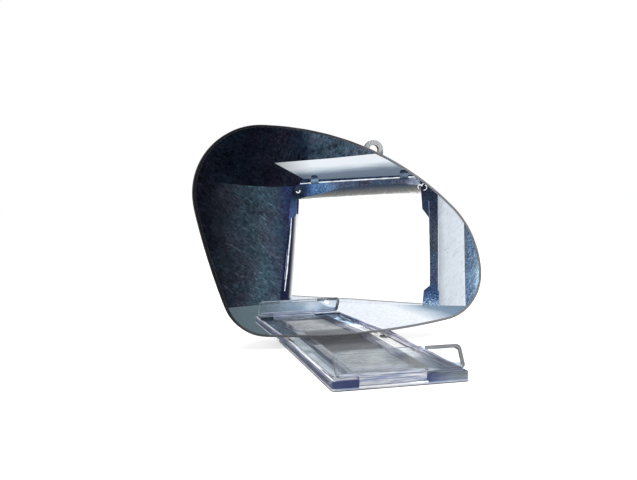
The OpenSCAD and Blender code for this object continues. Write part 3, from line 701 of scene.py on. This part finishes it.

# %% [markdown]
# ## Painted shade, glare and wear
# The clear plastic isn't evenly clear. Painted shade darkens the tray towards its front,
# at its front right corner and on the flap's lower right, painted glare whitens the tray
# floor's rear right, and wear makes the tray's front right rougher. The places are given
# in millimetres along the piece's own axes, each as a mask that runs from 0 to 1, and a
# ramp turns the mask into a colour to multiply the plastic's tint with.

# %% Painted shade, glare and wear
def part_way(made, axis, low, high):
    """How far along an axis the shaded spot lies, from low to high in millimetres."""
    return made.span(made.axis(axis), low / 1000, high / 1000)


def painted_shade_corner(made):
    """Painted shade: the plastic is darker towards the front right corner."""
    both = part_way(made, "X", 3, 12) * part_way(made, "Y", -12, -22)
    return made.ramp(both, (0.0, (1, 1, 1)), (1.0, (0.30, 0.34, 0.38)))


def floor_painted_glare_and_shade(made):
    """The tray's floor: painted glare makes it nearly white at the rear right, and painted shade darkens it
    towards the front and more at the front right.
    """
    rear = part_way(made, "X", 8, 18) * part_way(made, "Y", -24, -8)
    pale = made.ramp(rear, (0.0, (1, 1, 1)), (1.0, (2.1, 1.88, 1.75)))
    front = made.ramp(part_way(made, "Y", 22, -4), (0.0, (1, 1, 1)), (1.0, (0.66, 0.67, 0.71)))
    front = made.blend(rear, front, (1, 1, 1, 1))
    return made.times(painted_shade_corner(made), made.times(pale, front))


def worn_corner(made):
    """Roughness that wear adds at the front right of the tray."""
    return part_way(made, "X", 6, 14) * part_way(made, "Y", -2, -10) * 0.45


def painted_shade_flap(made):
    """Painted shade: the flap is darker low on its right half, below a hollow curve that sinks to the
    right.
    """
    high = part_way(made, "Z", 4.6, 15.4)
    edge = made.ramp(part_way(made, "X", 10, 35), (0.0, (1.1, 1.1, 1.1)), (0.20, (0.95, 0.95, 0.95)),
                     (0.42, (0.64, 0.64, 0.64)), (0.62, (0.44, 0.44, 0.44)), (1.0, (0.36, 0.36, 0.36)))
    below = made.node("MapRange", {"interpolation_type": "SMOOTHSTEP"}, {
        "Value": edge - high, "From Min": -0.04, "From Max": 0.10})
    painted_shade_mask = below * part_way(made, "X", 11, 20)
    return made.ramp(painted_shade_mask, (0.0, (1, 1, 1)), (0.5, (0.78, 0.82, 0.86)), (1.0, (0.42, 0.46, 0.52)))


print("worn places:", [place.__name__ for place in (painted_shade_corner, floor_painted_glare_and_shade, worn_corner, painted_shade_flap)])

# %% [markdown]
# ## Bands on the edges
# Thick clear plastic shows bands: the blocks at the hinge are blue and pale along their
# lower edge, and a wall's outer side runs from pale at its foot through violet to
# lavender. The pale and dark bands are light bent through the plastic. Bending the light
# through the real shape would give such bands too, but only from one side. Painted softly
# into the tint as painted highlights and painted shade, they stay right from every side.

# %% Bands on the edges
def block_shade(made):
    """Bluest on the left, greyer on the right, with a painted highlight as a pale lip along the bottom."""
    side = made.ramp(part_way(made, "X", 12, 33), (0.0, (1, 1, 1)), (0.4, (2.0, 2.0, 1.25)),
                     (1.0, (3.4, 3.3, 1.4)))
    lip = made.span(made.axis("Z"), 0.00035, 0.00075, 1.0, 0.0)
    return made.blend(lip, side, (8.0, 8.0, 4.0, 1.0))


def side_bands(made):
    """The wall's outer side from its foot up, in painted light and shade: pale, then deep violet, then
    lavender.
    """
    bands = made.ramp(part_way(made, "Z", 0, 4.2), (0.08, (1, 1, 1)), (0.20, (0.36, 0.35, 0.48)),
                      (0.55, (0.40, 0.40, 0.52)), (0.80, (0.86, 0.86, 1.0)))
    return made.times(bands, painted_shade_corner(made))


def lip_bands(made):
    """The lip under the tray: a painted highlight where it meets the tray, a painted contact shadow where
    it nears the shelf.
    """
    return made.ramp(part_way(made, "Z", -0.75, 0.0), (0.55, (0.15, 0.15, 0.17)), (0.75, (1, 1, 1)))


print("banded edges:", [bands.__name__ for bands in (block_shade, side_bands, lip_bands)])

# %% [markdown]
# ## The clear finishes
# The faces of a clear piece look different by where they lie, so each kind of face gets
# a finish. Pale wall tops, block tops and the ribbed bar's pale streaks are painted
# highlights, and the darker sides are painted shade. Deep and pale are the two ends of
# the tint, and clarity is how much light passes. The stretched coordinates draw the flow
# lines out along the piece.

# %% The clear finishes
# A turn and a stretch of the coordinates for each way that flow lines run.
flow = ((0, 0, 0), (1, 26, 26))
flow_up = ((0, 0, 0), (1, 1, 26))
flow_across = ((0, 0, 0), (1, 20, 1))
flow_along = ((0, 0, 0), (9, 0.5, 1))
flow_on_bar = ((0, 0, 0), (1, 34, 34))
matt_bend = 1.16
tray_clear = clear_styrene("clear_tray", (0.49, 0.56, 0.60), (0.64, 0.72, 0.77), 0.92, tint=floor_painted_glare_and_shade,
                           bend=matt_bend, dull=worn_corner)
insert_clear = clear_styrene("clear_insert", (0.56, 0.60, 0.74), (0.90, 0.92, 0.98), 0.90, streaks=flow,
                             tint=painted_shade_corner, bend=matt_bend, dull=worn_corner)
# The block tops: a painted highlight, paler than the blocks' fronts.
block_top = clear_styrene("clear_block_top", (0.22, 0.24, 0.34), (0.56, 0.58, 0.70), 0.55,
                          streaks=flow_across, tint=painted_shade_corner, bend=1.25, sharp=0.1)
flap_clear = clear_styrene("clear_flap", (0.78, 0.83, 0.87), (0.90, 0.93, 0.95), 0.93, tint=painted_shade_flap)
panel_clear = clear_styrene("clear_panel", (0.84, 0.87, 0.89), (0.91, 0.93, 0.95), 0.95)
# The wall tops: painted highlights in nearly white streaks.
rim_painted_highlight = clear_styrene("clear_rim", (0.10, 0.10, 0.20), (1.0, 0.99, 1.0), 0.15,
                          streaks=flow_along, tint=painted_shade_corner, bend=1.3, sharp=0.05)
# The outer sides of the walls: painted shade.
side_painted_shade = clear_styrene("clear_side", (0.42, 0.42, 0.52), (0.84, 0.84, 0.94), 0.50,
                          streaks=flow_up, tint=side_bands, sharp=0.11)
lip_dark = clear_styrene("clear_lip", (0.60, 0.62, 0.68), (0.92, 0.94, 0.96), 0.20, tint=lip_bands)
# The insert's sides: painted shade.
insert_side = clear_styrene("clear_insert_side", (0.20, 0.21, 0.30), (0.62, 0.64, 0.76), 0.55,
                            streaks=flow_up, tint=painted_shade_corner, sharp=0.11)
thick_blue = clear_styrene("clear_block", (0.055, 0.065, 0.20), (0.10, 0.12, 0.27), 0.35, tint=block_shade)
bead_grey = clear_styrene("clear_bead", (0.085, 0.09, 0.10), (0.15, 0.155, 0.17), 0.25)
eyelet_grey = clear_styrene("clear_eyelet", (0.58, 0.60, 0.61), (0.70, 0.72, 0.73), 0.12)
# The ribbed bar: its pale streaks are painted highlights.
bar_pale = clear_styrene("clear_bar", (0.24, 0.29, 0.46), (0.96, 0.98, 1.0), 0.35,
                         streaks=flow_on_bar, sharp=0.08)
print("finishes so far:", len(bpy.data.materials))

# %% [markdown]
# ## Silver
# The silvered face has to be almost perfectly smooth, or the room in it turns to fog.
# Only a breath of wiping marks and dust is left in its roughness.

# %% Silver
silver = Finish("mirror_face")
wipe = silver.noise(silver.place((0, 0.6, 0), (1, 1, 22)), 90.0, 4.0)
dust = silver.noise(silver.place(), 420.0, 2.0)
tone = silver.ramp(wipe, (0.35, (0.86, 0.89, 0.92)), (0.65, (0.90, 0.92, 0.94)))
silver_face = silver.done(silver.node("BsdfPrincipled", None, {
    "Base Color": tone, "Metallic": 1.0, "Roughness": wipe * 0.012 + dust * 0.008}))
print("silver:", silver_face.name)

# %% [markdown]
# ## Metals and solid plastics
# Metals and solid plastics share one recipe: a colour that drifts a little, a
# roughness that drifts with it, and a fine bump whose grain is stretched along the
# way the piece was rolled, turned or moulded.

# %% A solid finish
def solid(name, dark, light, rough=(0.35, 0.5), metal=0.0, scale=300.0, stretch=(1, 1, 1), bump=0.1):
    """Dark and light are the ends of the colour, rough the two ends of the roughness."""
    made = Finish(name)
    drift = made.noise(made.place(), scale * 0.12, 3.0)
    fine = made.noise(made.place(scale=stretch), scale, 4.0, 0.6)
    both = drift * 0.45 + fine * 0.55
    colour = made.ramp(both, (0.36, dark), (0.64, light))
    smoothest, roughest = rough
    level = both * (roughest - smoothest) * 2.0 + (smoothest - 0.5 * (roughest - smoothest))
    skin = made.bump(fine, bump, 0.0001)
    return made.done(made.node("BsdfPrincipled", None, {
        "Base Color": colour, "Metallic": metal, "Roughness": level, "IOR": 1.5,
        "Normal": skin}))

# %% [markdown]
# ## Trim rubber
# The trim round the glass is black rubber. Its colour runs across the piece, from black
# on the left to grey on the right, and it turns grey at its lowest part too.

# %% Trim rubber
def rubber_trim(name):
    made = Finish(name)
    fine = made.noise(made.place(), 500.0, 4.0, 0.6)
    cloud = made.noise(made.place(), 60.0)
    low = part_way(made, "Z", 50, 14) * 0.055
    level = made.span(made.axis("X") + low + (cloud - 0.5) * 0.05, -0.05, 0.05)
    colour = made.ramp(level, (0.0, (0.009, 0.010, 0.014)), (0.5, (0.055, 0.058, 0.065)),
                       (1.0, (0.23, 0.235, 0.245)))
    return made.done(made.node("BsdfPrincipled", None, {
        "Base Color": colour, "Roughness": fine * 0.4 + 0.2, "IOR": 1.5, "Specular IOR Level": 0.35,
        "Normal": made.bump(fine, 0.1, 0.0001)}))


trim_rubber = rubber_trim("trim_rubber")
print("trim:", trim_rubber.name)

# %% [markdown]
# ## The solid finishes
# Zinc-plated steel, nylon, moulded black plastic, foam, brass and tape each keep their
# own colour and roughness. Rolled and turned metals get a grain stretched one way.

# %% The solid finishes
carrier_black = solid("carrier_plastic", (0.018, 0.019, 0.021), (0.036, 0.038, 0.042), (0.4, 0.6),
                      scale=900.0, bump=0.25)
foam_black = solid("pad_foam", (0.030, 0.030, 0.032), (0.070, 0.070, 0.072), (0.8, 0.95), scale=1400.0,
                   bump=0.6)
zinc = solid("bracket_steel", (0.50, 0.51, 0.52), (0.72, 0.73, 0.74), (0.22, 0.42), 1.0, 500.0, (1, 1, 14),
             bump=0.15)
screw_zinc = solid("screw_steel", (0.42, 0.43, 0.45), (0.68, 0.69, 0.71), (0.2, 0.38), 1.0, 700.0,
                   (14, 14, 1), bump=0.12)
pin_bright = solid("pin_steel", (0.52, 0.53, 0.54), (0.76, 0.76, 0.77), (0.15, 0.3), 1.0, 900.0,
                   (1, 14, 14), bump=0.1)
block_black = solid("black_nylon", (0.022, 0.022, 0.024), (0.045, 0.045, 0.048), (0.42, 0.6), scale=900.0,
                    bump=0.25)
washer_white = solid("white_nylon", (0.66, 0.66, 0.63), (0.80, 0.80, 0.77), (0.4, 0.55), scale=700.0)
knob_black = solid("knob_plastic", (0.020, 0.021, 0.023), (0.042, 0.044, 0.048), (0.32, 0.5), scale=1000.0,
                   bump=0.2)
brass = solid("insert_brass", (0.55, 0.38, 0.14), (0.78, 0.60, 0.28), (0.2, 0.4), 1.0, 700.0, (14, 1, 1))
foot_grey = solid("foot_rubber", (0.30, 0.31, 0.32), (0.42, 0.43, 0.44), (0.65, 0.85), scale=900.0,
                  bump=0.3)
tape_cream = solid("tape", (0.50, 0.49, 0.44), (0.66, 0.65, 0.60), (0.6, 0.8), scale=800.0)
print("finishes so far:", len(bpy.data.materials))

# %% [markdown]
# ## Ballast sheet
# The steel plate that weighs the tray down is galvanised sheet. Its colour runs along
# the tray, broken up by a coarse grain: dark at the back as painted shade where the head
# shades it, pale in front as a painted reflection of the window's light, and darker
# again at the front right corner as painted shade.

# %% Ballast sheet
def sheet_with_painted_light(name):
    made = Finish(name)
    rolled = made.place(scale=(0.4, 1, 1))
    fine = made.noise(rolled, 900.0, 4.0, 0.7)
    drift = made.noise(rolled, 90.0, 3.0)
    # Painted shade at the front right corner. Below, painted shade at the back turns to a painted
    # reflection in front.
    painted_shade_mask = part_way(made, "X", 3, 13) * part_way(made, "Y", -4, -22)
    level = part_way(made, "Y", 6, -6) * 0.8 + (fine - 0.5) * 1.9 + (drift - 0.5) * 0.9 + 0.1 - painted_shade_mask * 0.5
    colour = made.ramp(level, (0.0, (0.11, 0.117, 0.122)), (0.35, (0.195, 0.198, 0.205)),
                       (0.75, (0.31, 0.315, 0.32)), (1.0, (0.54, 0.545, 0.55)))
    return made.done(made.node("BsdfPrincipled", None, {
        "Base Color": colour, "Metallic": 0.35, "Roughness": fine * 0.3 + 0.35, "IOR": 1.5,
        "Normal": made.bump(fine, 0.3, 0.0001)}))


ballast = sheet_with_painted_light("ballast_steel")
print("ballast:", ballast.name)

# %% [markdown]
# ## From the CAD model to a moulded piece
# The CAD edges are perfectly sharp. No moulded or pressed edge is, and it is the small
# round that catches the light. Each copy below is cleaned, its sharp edges are beveled
# and its faces are shaded smooth.

# %% Softened copies
def fresh_piece(form, name, finish):
    bmesh.ops.recalc_face_normals(form, faces=form.faces)
    shape = bpy.data.meshes.new(name)
    form.to_mesh(shape)
    form.free()
    shape.materials.append(finish)
    piece = bpy.data.objects.new(name, shape)
    scene.collection.objects.link(piece)
    return piece


bevel_segments = 2
sharp_edge = math.radians(28.0)
flat_edge = math.radians(0.5)


def softened(node, body, finish, width=0.3, dissolve=True, clear=False, regions=(), cut=None):
    """A rounded copy of a CAD node. Regions give some of its faces a finish of their own,
    and cut splits long faces across the piece, so that a region can end there."""
    form = bmesh.new()
    form.from_mesh(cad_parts[node].data)
    bmesh.ops.remove_doubles(form, verts=form.verts, dist=0.000001)
    if cut is not None:
        bmesh.ops.bisect_plane(form, geom=form.verts[:] + form.edges[:] + form.faces[:],
                               plane_co=(cut / 1000, 0, 0), plane_no=(1, 0, 0))
    form.normal_update()
    for face in form.faces:
        face.material_index = 0
        for index, (_, test) in enumerate(regions):
            if test(face.calc_center_median() * 1000, face.normal):
                face.material_index = index + 1
    if dissolve:
        bmesh.ops.dissolve_limit(form, angle_limit=flat_edge, verts=form.verts, edges=form.edges,
                                 delimit={"MATERIAL"})
    corners = [edge for edge in form.edges
               if edge.is_manifold and edge.calc_face_angle() > sharp_edge]
    bmesh.ops.bevel(form, geom=corners, offset=width / 1000, offset_type="OFFSET",
                    segments=bevel_segments, profile=0.5, affect="EDGES", clamp_overlap=True, material=-1)
    for face in form.faces:
        face.smooth = True
    piece = fresh_piece(form, node + "_piece", finish)
    for own, _ in regions:
        piece.data.materials.append(own)
    weighted = piece.modifiers.new("weighted", "WEIGHTED_NORMAL")
    weighted.keep_sharp = True
    if clear:
        piece.visible_shadow = False
    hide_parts(node)
    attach(piece, body)
    print(node, "faces", len(piece.data.polygons), "rounded edges", len(corners))


print("edges sharper than", round(math.degrees(sharp_edge)), "degrees are rounded")

# %% [markdown]
# ## Which faces are which
# Clear plastic is hardly seen where it is thin and flat. It is seen at its edges: light
# that entered a sheet leaves through them, so a wall's top looks pale, its outer side
# looks dark, and the thick blocks at the hinge look blue. The pale tops are painted
# highlights and the dark sides painted shade, each a finish of its own. Faces could be
# picked one by one, but their numbers change with every new pack. So each kind is found
# by where its middle lies, in millimetres, and which way it looks.

# %% Which faces are which
tray_low, tray_high = [corner * 1000 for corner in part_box("base_tray")]
wall_top = 4.2
step_top = 1.8
upper_half = 3.0
side_depth = 2.0
block_depth = 7.0
under_block = 0.05
straight = 0.9


def on_front_block(spot, way):
    within = spot.y < tray_low.y + block_depth and spot.z > under_block
    return within and way.y < 0.5 and way.z < 0.5


def on_block_top(spot, way):
    return way.z > straight and spot.z > wall_top and spot.y < tray_low.y + block_depth


def on_wall_top(spot, way):
    """On the right the step along the wall's foot counts as well."""
    return way.z > straight and spot.z > (step_top if spot.x > 0 else upper_half)


def on_outer_side(spot, way):
    return abs(way.x) > straight and abs(spot.x) > tray_high.x - side_depth


def on_insert_side(spot, way):
    return abs(way.x) > 0.5 or abs(way.y) > 0.5


print("tray, mm:", [round(v, 1) for v in tray_low], "to", [round(v, 1) for v in tray_high])

# %% [markdown]
# ## Faces of the flap and the panel
# The flap has a rounded bead round its right half, which looks dark grey, and a ribbed
# bar along its foot, which looks pale with blue lines. The panel's two eyelets are
# thicker than its sheet and turn grey.

# %% Faces of the flap and the panel
flap_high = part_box("front_flap")[1] * 1000
panel_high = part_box("back_panel")[1] * 1000
bead_width = 1.9
bead_height = 2.6
right_half = 12.0
bar_top = 5.4
shelf_top = 7.5
bar_end = 14.0
eyelet_height = 14.0


def on_bead(spot, way):
    """The rounded bead round the flap's right half."""
    on_rim = spot.z > flap_high.z - bead_height or spot.x > flap_high.x - bead_width
    return way.y < 0.3 and on_rim and spot.x > right_half


def on_ribbed_bar(spot, way):
    """The bar at the flap's foot, with the shelf above it up to where the bar ends."""
    return spot.z < bar_top or (spot.z < shelf_top and way.z > 0.5 and spot.x < bar_end)


def on_eyelet(spot, way):
    return spot.z > panel_high.z - eyelet_height and abs(way.y) > 0.5


def on_eyelet_side(spot, way):
    return spot.z > panel_high.z - eyelet_height and abs(way.y) <= 0.5


print("flap top", round(flap_high.z, 1), "mm, panel top", round(panel_high.z, 1), "mm")

# %% [markdown]
# ## The tray
# The tray is one moulding: a floor, a low wall on each side and a thick block at the
# hinge. A softened copy of the CAD tray is enough for its shape, and four kinds of
# faces get finishes of their own.

# %% The tray
softened("base_tray", "base", tray_clear, 0.25,
         regions=[(rim_painted_highlight, on_wall_top), (block_top, on_block_top), (side_painted_shade, on_outer_side),
                  (thick_blue, on_front_block)])

# %% [markdown]
# ## Lip under the tray
# A thin lip runs round the tray's underside and hides the gap that the rubber feet
# leave above the shelf. It is only looks, so it is built here and not in the CAD model:
# its dark foot is a painted contact shadow and its pale top a painted highlight.
# Its section is a small rectangle, carried along the tray's outline from one rear end
# round the front to the other, and its edges are then beveled like every other edge.

# %% Lip under the tray
lip_out = 0.5
lip_in = 1.2
lip_low = -0.75
lip_top = 0.02
corner_r = 1.8
side_x = tray_high.x
front_edge = tray_low.y
hinge_room = 12.0
rear_edge = tray_high.y - hinge_room


def lip_path(grow, front):
    """The tray's outline from its rear left end round the front to its rear right end."""
    radius = corner_r + grow
    steps = 8
    points = [Vector((-side_x - grow, rear_edge))]
    for centre_x, first in ((-side_x + corner_r, 180), (side_x - corner_r, 270)):
        for k in range(steps + 1):
            turn = math.radians(first + 90 * k / steps)
            points.append(Vector((centre_x + radius * math.cos(turn),
                                  front + radius + radius * math.sin(turn))))
    points.append(Vector((side_x + grow, rear_edge)))
    return points


def lip():
    """The rectangle at each point of the outline, joined into one closed bar."""
    form = bmesh.new()
    outer = lip_path(lip_out, front_edge)
    inner = lip_path(-lip_in, front_edge + lip_in)
    rows = []
    for here, there in zip(outer, inner):
        ring = [(here, lip_low), (here, lip_top), (there, lip_top), (there, lip_low)]
        rows.append([form.verts.new((spot.x / 1000, spot.y / 1000, up / 1000)) for spot, up in ring])
    for here, there in zip(rows, rows[1:]):
        for k in range(4):
            m = (k + 1) % 4
            form.faces.new((here[k], here[m], there[m], there[k]))
    form.faces.new(rows[0])
    form.faces.new(list(reversed(rows[-1])))
    bmesh.ops.recalc_face_normals(form, faces=form.faces)
    corners = [edge for edge in form.edges if edge.calc_face_angle() > math.radians(50)]
    bmesh.ops.bevel(form, geom=corners, offset=0.00012, offset_type="OFFSET", segments=2, profile=0.5,
                    affect="EDGES", clamp_overlap=True, material=-1)
    for face in form.faces:
        face.smooth = True
    piece = fresh_piece(form, "tray_lip", lip_dark)
    weighted = piece.modifiers.new("weighted", "WEIGHTED_NORMAL")
    weighted.keep_sharp = True
    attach(piece, "base")
    print("tray lip faces", len(piece.data.polygons))


lip()

# %% [markdown]
# ## Insert, flap and panel
# The other clear mouldings: the frame that lies in the tray, the flap that folds up in
# front, and the tall panel that carries the mirror and has two eyelets at its top. The
# flap is also cut across where its ribbed bar ends, so that the finishes can change
# there. Thin clear sheets cast hardly any shadow, so theirs is left out.

# %% Insert, flap and panel
softened("insert_frame", "base", insert_clear, 0.25, clear=True,
         regions=[(insert_side, on_insert_side)])
softened("front_flap", "flap", flap_clear, 0.25, clear=True,
         regions=[(bead_grey, on_bead), (bar_pale, on_ribbed_bar)], cut=bar_end)
softened("back_panel", "panel", panel_clear, 0.3, clear=True,
         regions=[(eyelet_grey, on_eyelet), (bead_grey, on_eyelet_side)])
softened("hinge_rail", "panel", panel_clear, 0.25, clear=True)

# %% [markdown]
# ## Feet, ballast and hinge pins
# Four rubber feet, the steel plate with the tape that holds it, and the steel pins of
# the two hinges all belong to the tray, so they ride on its body.

# %% Feet, ballast and hinge pins
softened("rubber_feet", "base", foot_grey, 0.15)
softened("ballast_plate", "base", ballast, 0.2)
softened("ballast_tape", "base", tape_cream, 0.05)
softened("flap_hinge_pin", "base", pin_bright, 0.15)
softened("panel_hinge_pins", "base", pin_bright, 0.2)

# %% [markdown]
# ## Swivel arm
# Behind the mirror a steel bracket on the panel carries a nylon block that swivels, and
# the mirror's own bracket tilts on that block. A knob clamps the tilt. Each piece rides
# on the body that moves it.

# %% Swivel arm
softened("panel_bracket", "panel", zinc, 0.3)
softened("panel_screws", "panel", screw_zinc, 0.15)
softened("swivel_pin", "panel", pin_bright, 0.2)
softened("swivel_push_nut", "panel", screw_zinc, 0.12)
softened("swivel_block", "swivel", block_black, 0.4)
softened("swivel_washers", "swivel", washer_white, 0.1)
softened("tilt_washers", "swivel", washer_white, 0.1)
softened("head_bracket", "head", zinc, 0.3)
softened("bracket_screws", "head", screw_zinc, 0.15)
softened("tilt_pin", "head", pin_bright, 0.2)
softened("lock_knob", "knob", knob_black, 0.3)
softened("knob_insert", "knob", brass, 0.12)

# %% [markdown]
# ## Mirror carrier
# The mirror sits in a black moulded shell, on a foam pad. Both follow the egg-shaped
# outline in many narrow faces, so only their true edges are rounded and no faces are
# merged.

# %% Mirror carrier
softened("carrier_shell", "head", carrier_black, 0.3, dissolve=False)
softened("adhesive_pad", "head", foam_black, 0.1, dissolve=False)

# %% [markdown]
# ## The mirror's surface
# The glass is a slice of a large sphere. A reflection shows every small step in its
# surface, so the face is built afresh on the true sphere and not taken from the CAD
# triangles. It is built with the head square and is turned at the end.

# %% The mirror's surface
glass_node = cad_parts["mirror_glass"]
dome_radius = 1.5
swing = math.radians(2.9)
lean = math.radians(-2.2)
swivel_axis = Vector((0.0, 0.0522, 0.0))
tilt_axis = Vector((0.0, 0.0452, 0.0672))
head_turn = (Matrix.Translation(swivel_axis) @ Matrix.Rotation(swing, 4, "Z")
             @ Matrix.Translation(tilt_axis - swivel_axis) @ Matrix.Rotation(lean, 4, "X")
             @ Matrix.Translation(-tilt_axis))
apex = Vector((0.002, 0.0315, 0.0672))


def dome_depth(x, z):
    """Where the silvered face lies along Y, before the head is turned."""
    return apex.y + dome_radius - math.sqrt(dome_radius ** 2 - (x - apex.x) ** 2 - (z - apex.z) ** 2)


fall_off = dome_depth(apex.x + 0.06, apex.z) - apex.y
print("60 mm from its middle the dome lies", round(fall_off * 1000, 2), "mm back")

# %% [markdown]
# ## The mirror's outline
# The egg-shaped outline is taken from the CAD glass, so that it follows any change of
# size. The edges between the face and the glass's narrow side form one ring, which is
# walked from corner to corner.

# %% The mirror's outline
form = bmesh.new()
form.from_mesh(glass_node.data)
form.transform(head_turn.inverted())
bmesh.ops.remove_doubles(form, verts=form.verts, dist=0.000001)
form.normal_update()
rim_edges = [edge for edge in form.edges if len(edge.link_faces) == 2
             and min(face.normal.y for face in edge.link_faces) < -0.9
             and max(abs(face.normal.y) < 0.3 for face in edge.link_faces)]
follow = {}
for edge in rim_edges:
    for here, there in (edge.verts, reversed(edge.verts)):
        follow.setdefault(here, []).append(there)
loop = [rim_edges[0].verts[0]]
before = None
while True:
    ahead = [vert for vert in follow[loop[-1]] if vert is not before]
    before = loop[-1]
    if ahead[0] is loop[0]:
        break
    loop.append(ahead[0])
outline = [Vector((vert.co.x, vert.co.z)) for vert in loop]
form.free()
lengths = [0.0]
for here, there in zip(outline, outline[1:] + outline[:1]):
    lengths.append(lengths[-1] + (there - here).length)
print("outline points", len(outline), "round length, mm:", round(lengths[-1] * 1000, 1))


def along_outline(distance):
    distance = distance % lengths[-1]
    index = max(i for i, start in enumerate(lengths[:-1]) if start <= distance)
    part = (distance - lengths[index]) / (lengths[index + 1] - lengths[index])
    return outline[index].lerp(outline[(index + 1) % len(outline)], part)

# %% [markdown]
# ## An even rim
# The CAD outline has long and short steps. It is divided again into equal steps and
# smoothed a little, and each step gets the direction that points straight outwards.

# %% An even rim
rim_count = 240
rim = [along_outline(lengths[-1] * i / rim_count) for i in range(rim_count)]
for smoothing in range(2):
    rim = [(rim[i - 1] + rim[i] * 2 + rim[(i + 1) % rim_count]) / 4 for i in range(rim_count)]
centre = Vector((apex.x, apex.z))
outward = []
for i in range(rim_count):
    way = rim[(i + 1) % rim_count] - rim[i - 1]
    side = Vector((-way.y, way.x)).normalized()
    outward.append(side if side.dot(rim[i] - centre) > 0 else -side)
print("rim steps", rim_count, "of", round(lengths[-1] / rim_count * 1000, 2), "mm")

# %% [markdown]
# ## Glass
# Rings of the outline step inwards on the sphere, close together at the rim and wider
# apart further in, and end in one point. The normals come from the sphere's middle and
# not from the faces, so the reflection is smooth from edge to edge.

# %% Glass
glass_thickness = 0.002
ring_shares = [1.0, 0.995, 0.985] + [0.96 - 0.04 * k for k in range(24)]
form = bmesh.new()
front_rings = []
for share in ring_shares:
    ring = []
    for spot in rim:
        x, z = centre.lerp(spot, share)
        ring.append(form.verts.new((x, dome_depth(x, z), z)))
    front_rings.append(ring)
tip = form.verts.new(apex)
back_ring = [form.verts.new((spot.x, dome_depth(spot.x, spot.y) + glass_thickness, spot.y)) for spot in rim]
back_inner = []
for spot in rim:
    x, z = centre.lerp(spot, 0.5)
    back_inner.append(form.verts.new((x, dome_depth(x, z) + glass_thickness, z)))
back_tip = form.verts.new(apex + Vector((0, glass_thickness, 0)))
for outer, inner in zip(front_rings, front_rings[1:]):
    for i in range(rim_count):
        j = (i + 1) % rim_count
        form.faces.new((outer[i], outer[j], inner[j], inner[i]))
for i in range(rim_count):
    j = (i + 1) % rim_count
    form.faces.new((front_rings[-1][i], front_rings[-1][j], tip))
    form.faces.new((front_rings[0][j], front_rings[0][i], back_ring[i], back_ring[j]))
    form.faces.new((back_ring[j], back_ring[i], back_inner[i], back_inner[j]))
    form.faces.new((back_inner[j], back_inner[i], back_tip))
for face in form.faces:
    face.smooth = True
form.transform(head_turn)
glass = fresh_piece(form, "mirror_glass_piece", silver_face)
ball_centre = head_turn @ (apex + Vector((0, dome_radius, 0)))
face_normals = []
for polygon in glass.data.polygons:
    for index in polygon.vertices:
        spot = glass.data.vertices[index].co
        if polygon.normal.y < -0.9:
            face_normals.append((spot - ball_centre).normalized())
        elif polygon.normal.y > 0.9:
            face_normals.append((ball_centre - spot).normalized())
        else:
            face_normals.append(polygon.normal.copy())
glass.data.normals_split_custom_set(face_normals)
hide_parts("mirror_glass")
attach(glass, "head")
print("glass faces", len(glass.data.polygons))

# %% [markdown]
# ## Edge trim
# A rubber trim grips the glass all round. Its section, in millimetres outwards and
# back, has rounded corners and is carried along the rim. A bevel modifier could round
# it, but the lip over the glass is so thin that the roundings would meet.

# %% Edge trim
trim_profile = [(-0.45, 0.0), (-0.45, -0.28), (-0.3, -0.45), (0.45, -0.5), (0.82, -0.35), (1.0, 0.0),
                (1.0, 4.6), (0.85, 4.95), (0.5, 5.1), (0.1, 5.1), (0.03, 4.9), (0.03, 0.02)]
form = bmesh.new()
loops = []
for spot, side in zip(rim, outward):
    loop = []
    for grow, depth in trim_profile:
        place = spot + side * (grow / 1000)
        loop.append(form.verts.new((place.x, dome_depth(spot.x, spot.y) + depth / 1000, place.y)))
    loops.append(loop)
for i in range(rim_count):
    here = loops[i]
    there = loops[(i + 1) % rim_count]
    for k in range(len(trim_profile)):
        m = (k + 1) % len(trim_profile)
        form.faces.new((here[k], here[m], there[m], there[k]))
for face in form.faces:
    face.smooth = True
form.transform(head_turn)
trim = fresh_piece(form, "edge_trim_piece", trim_rubber)
trim.modifiers.new("weighted", "WEIGHTED_NORMAL")
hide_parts("edge_trim")
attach(trim, "head")
print("trim faces", len(trim.data.polygons))
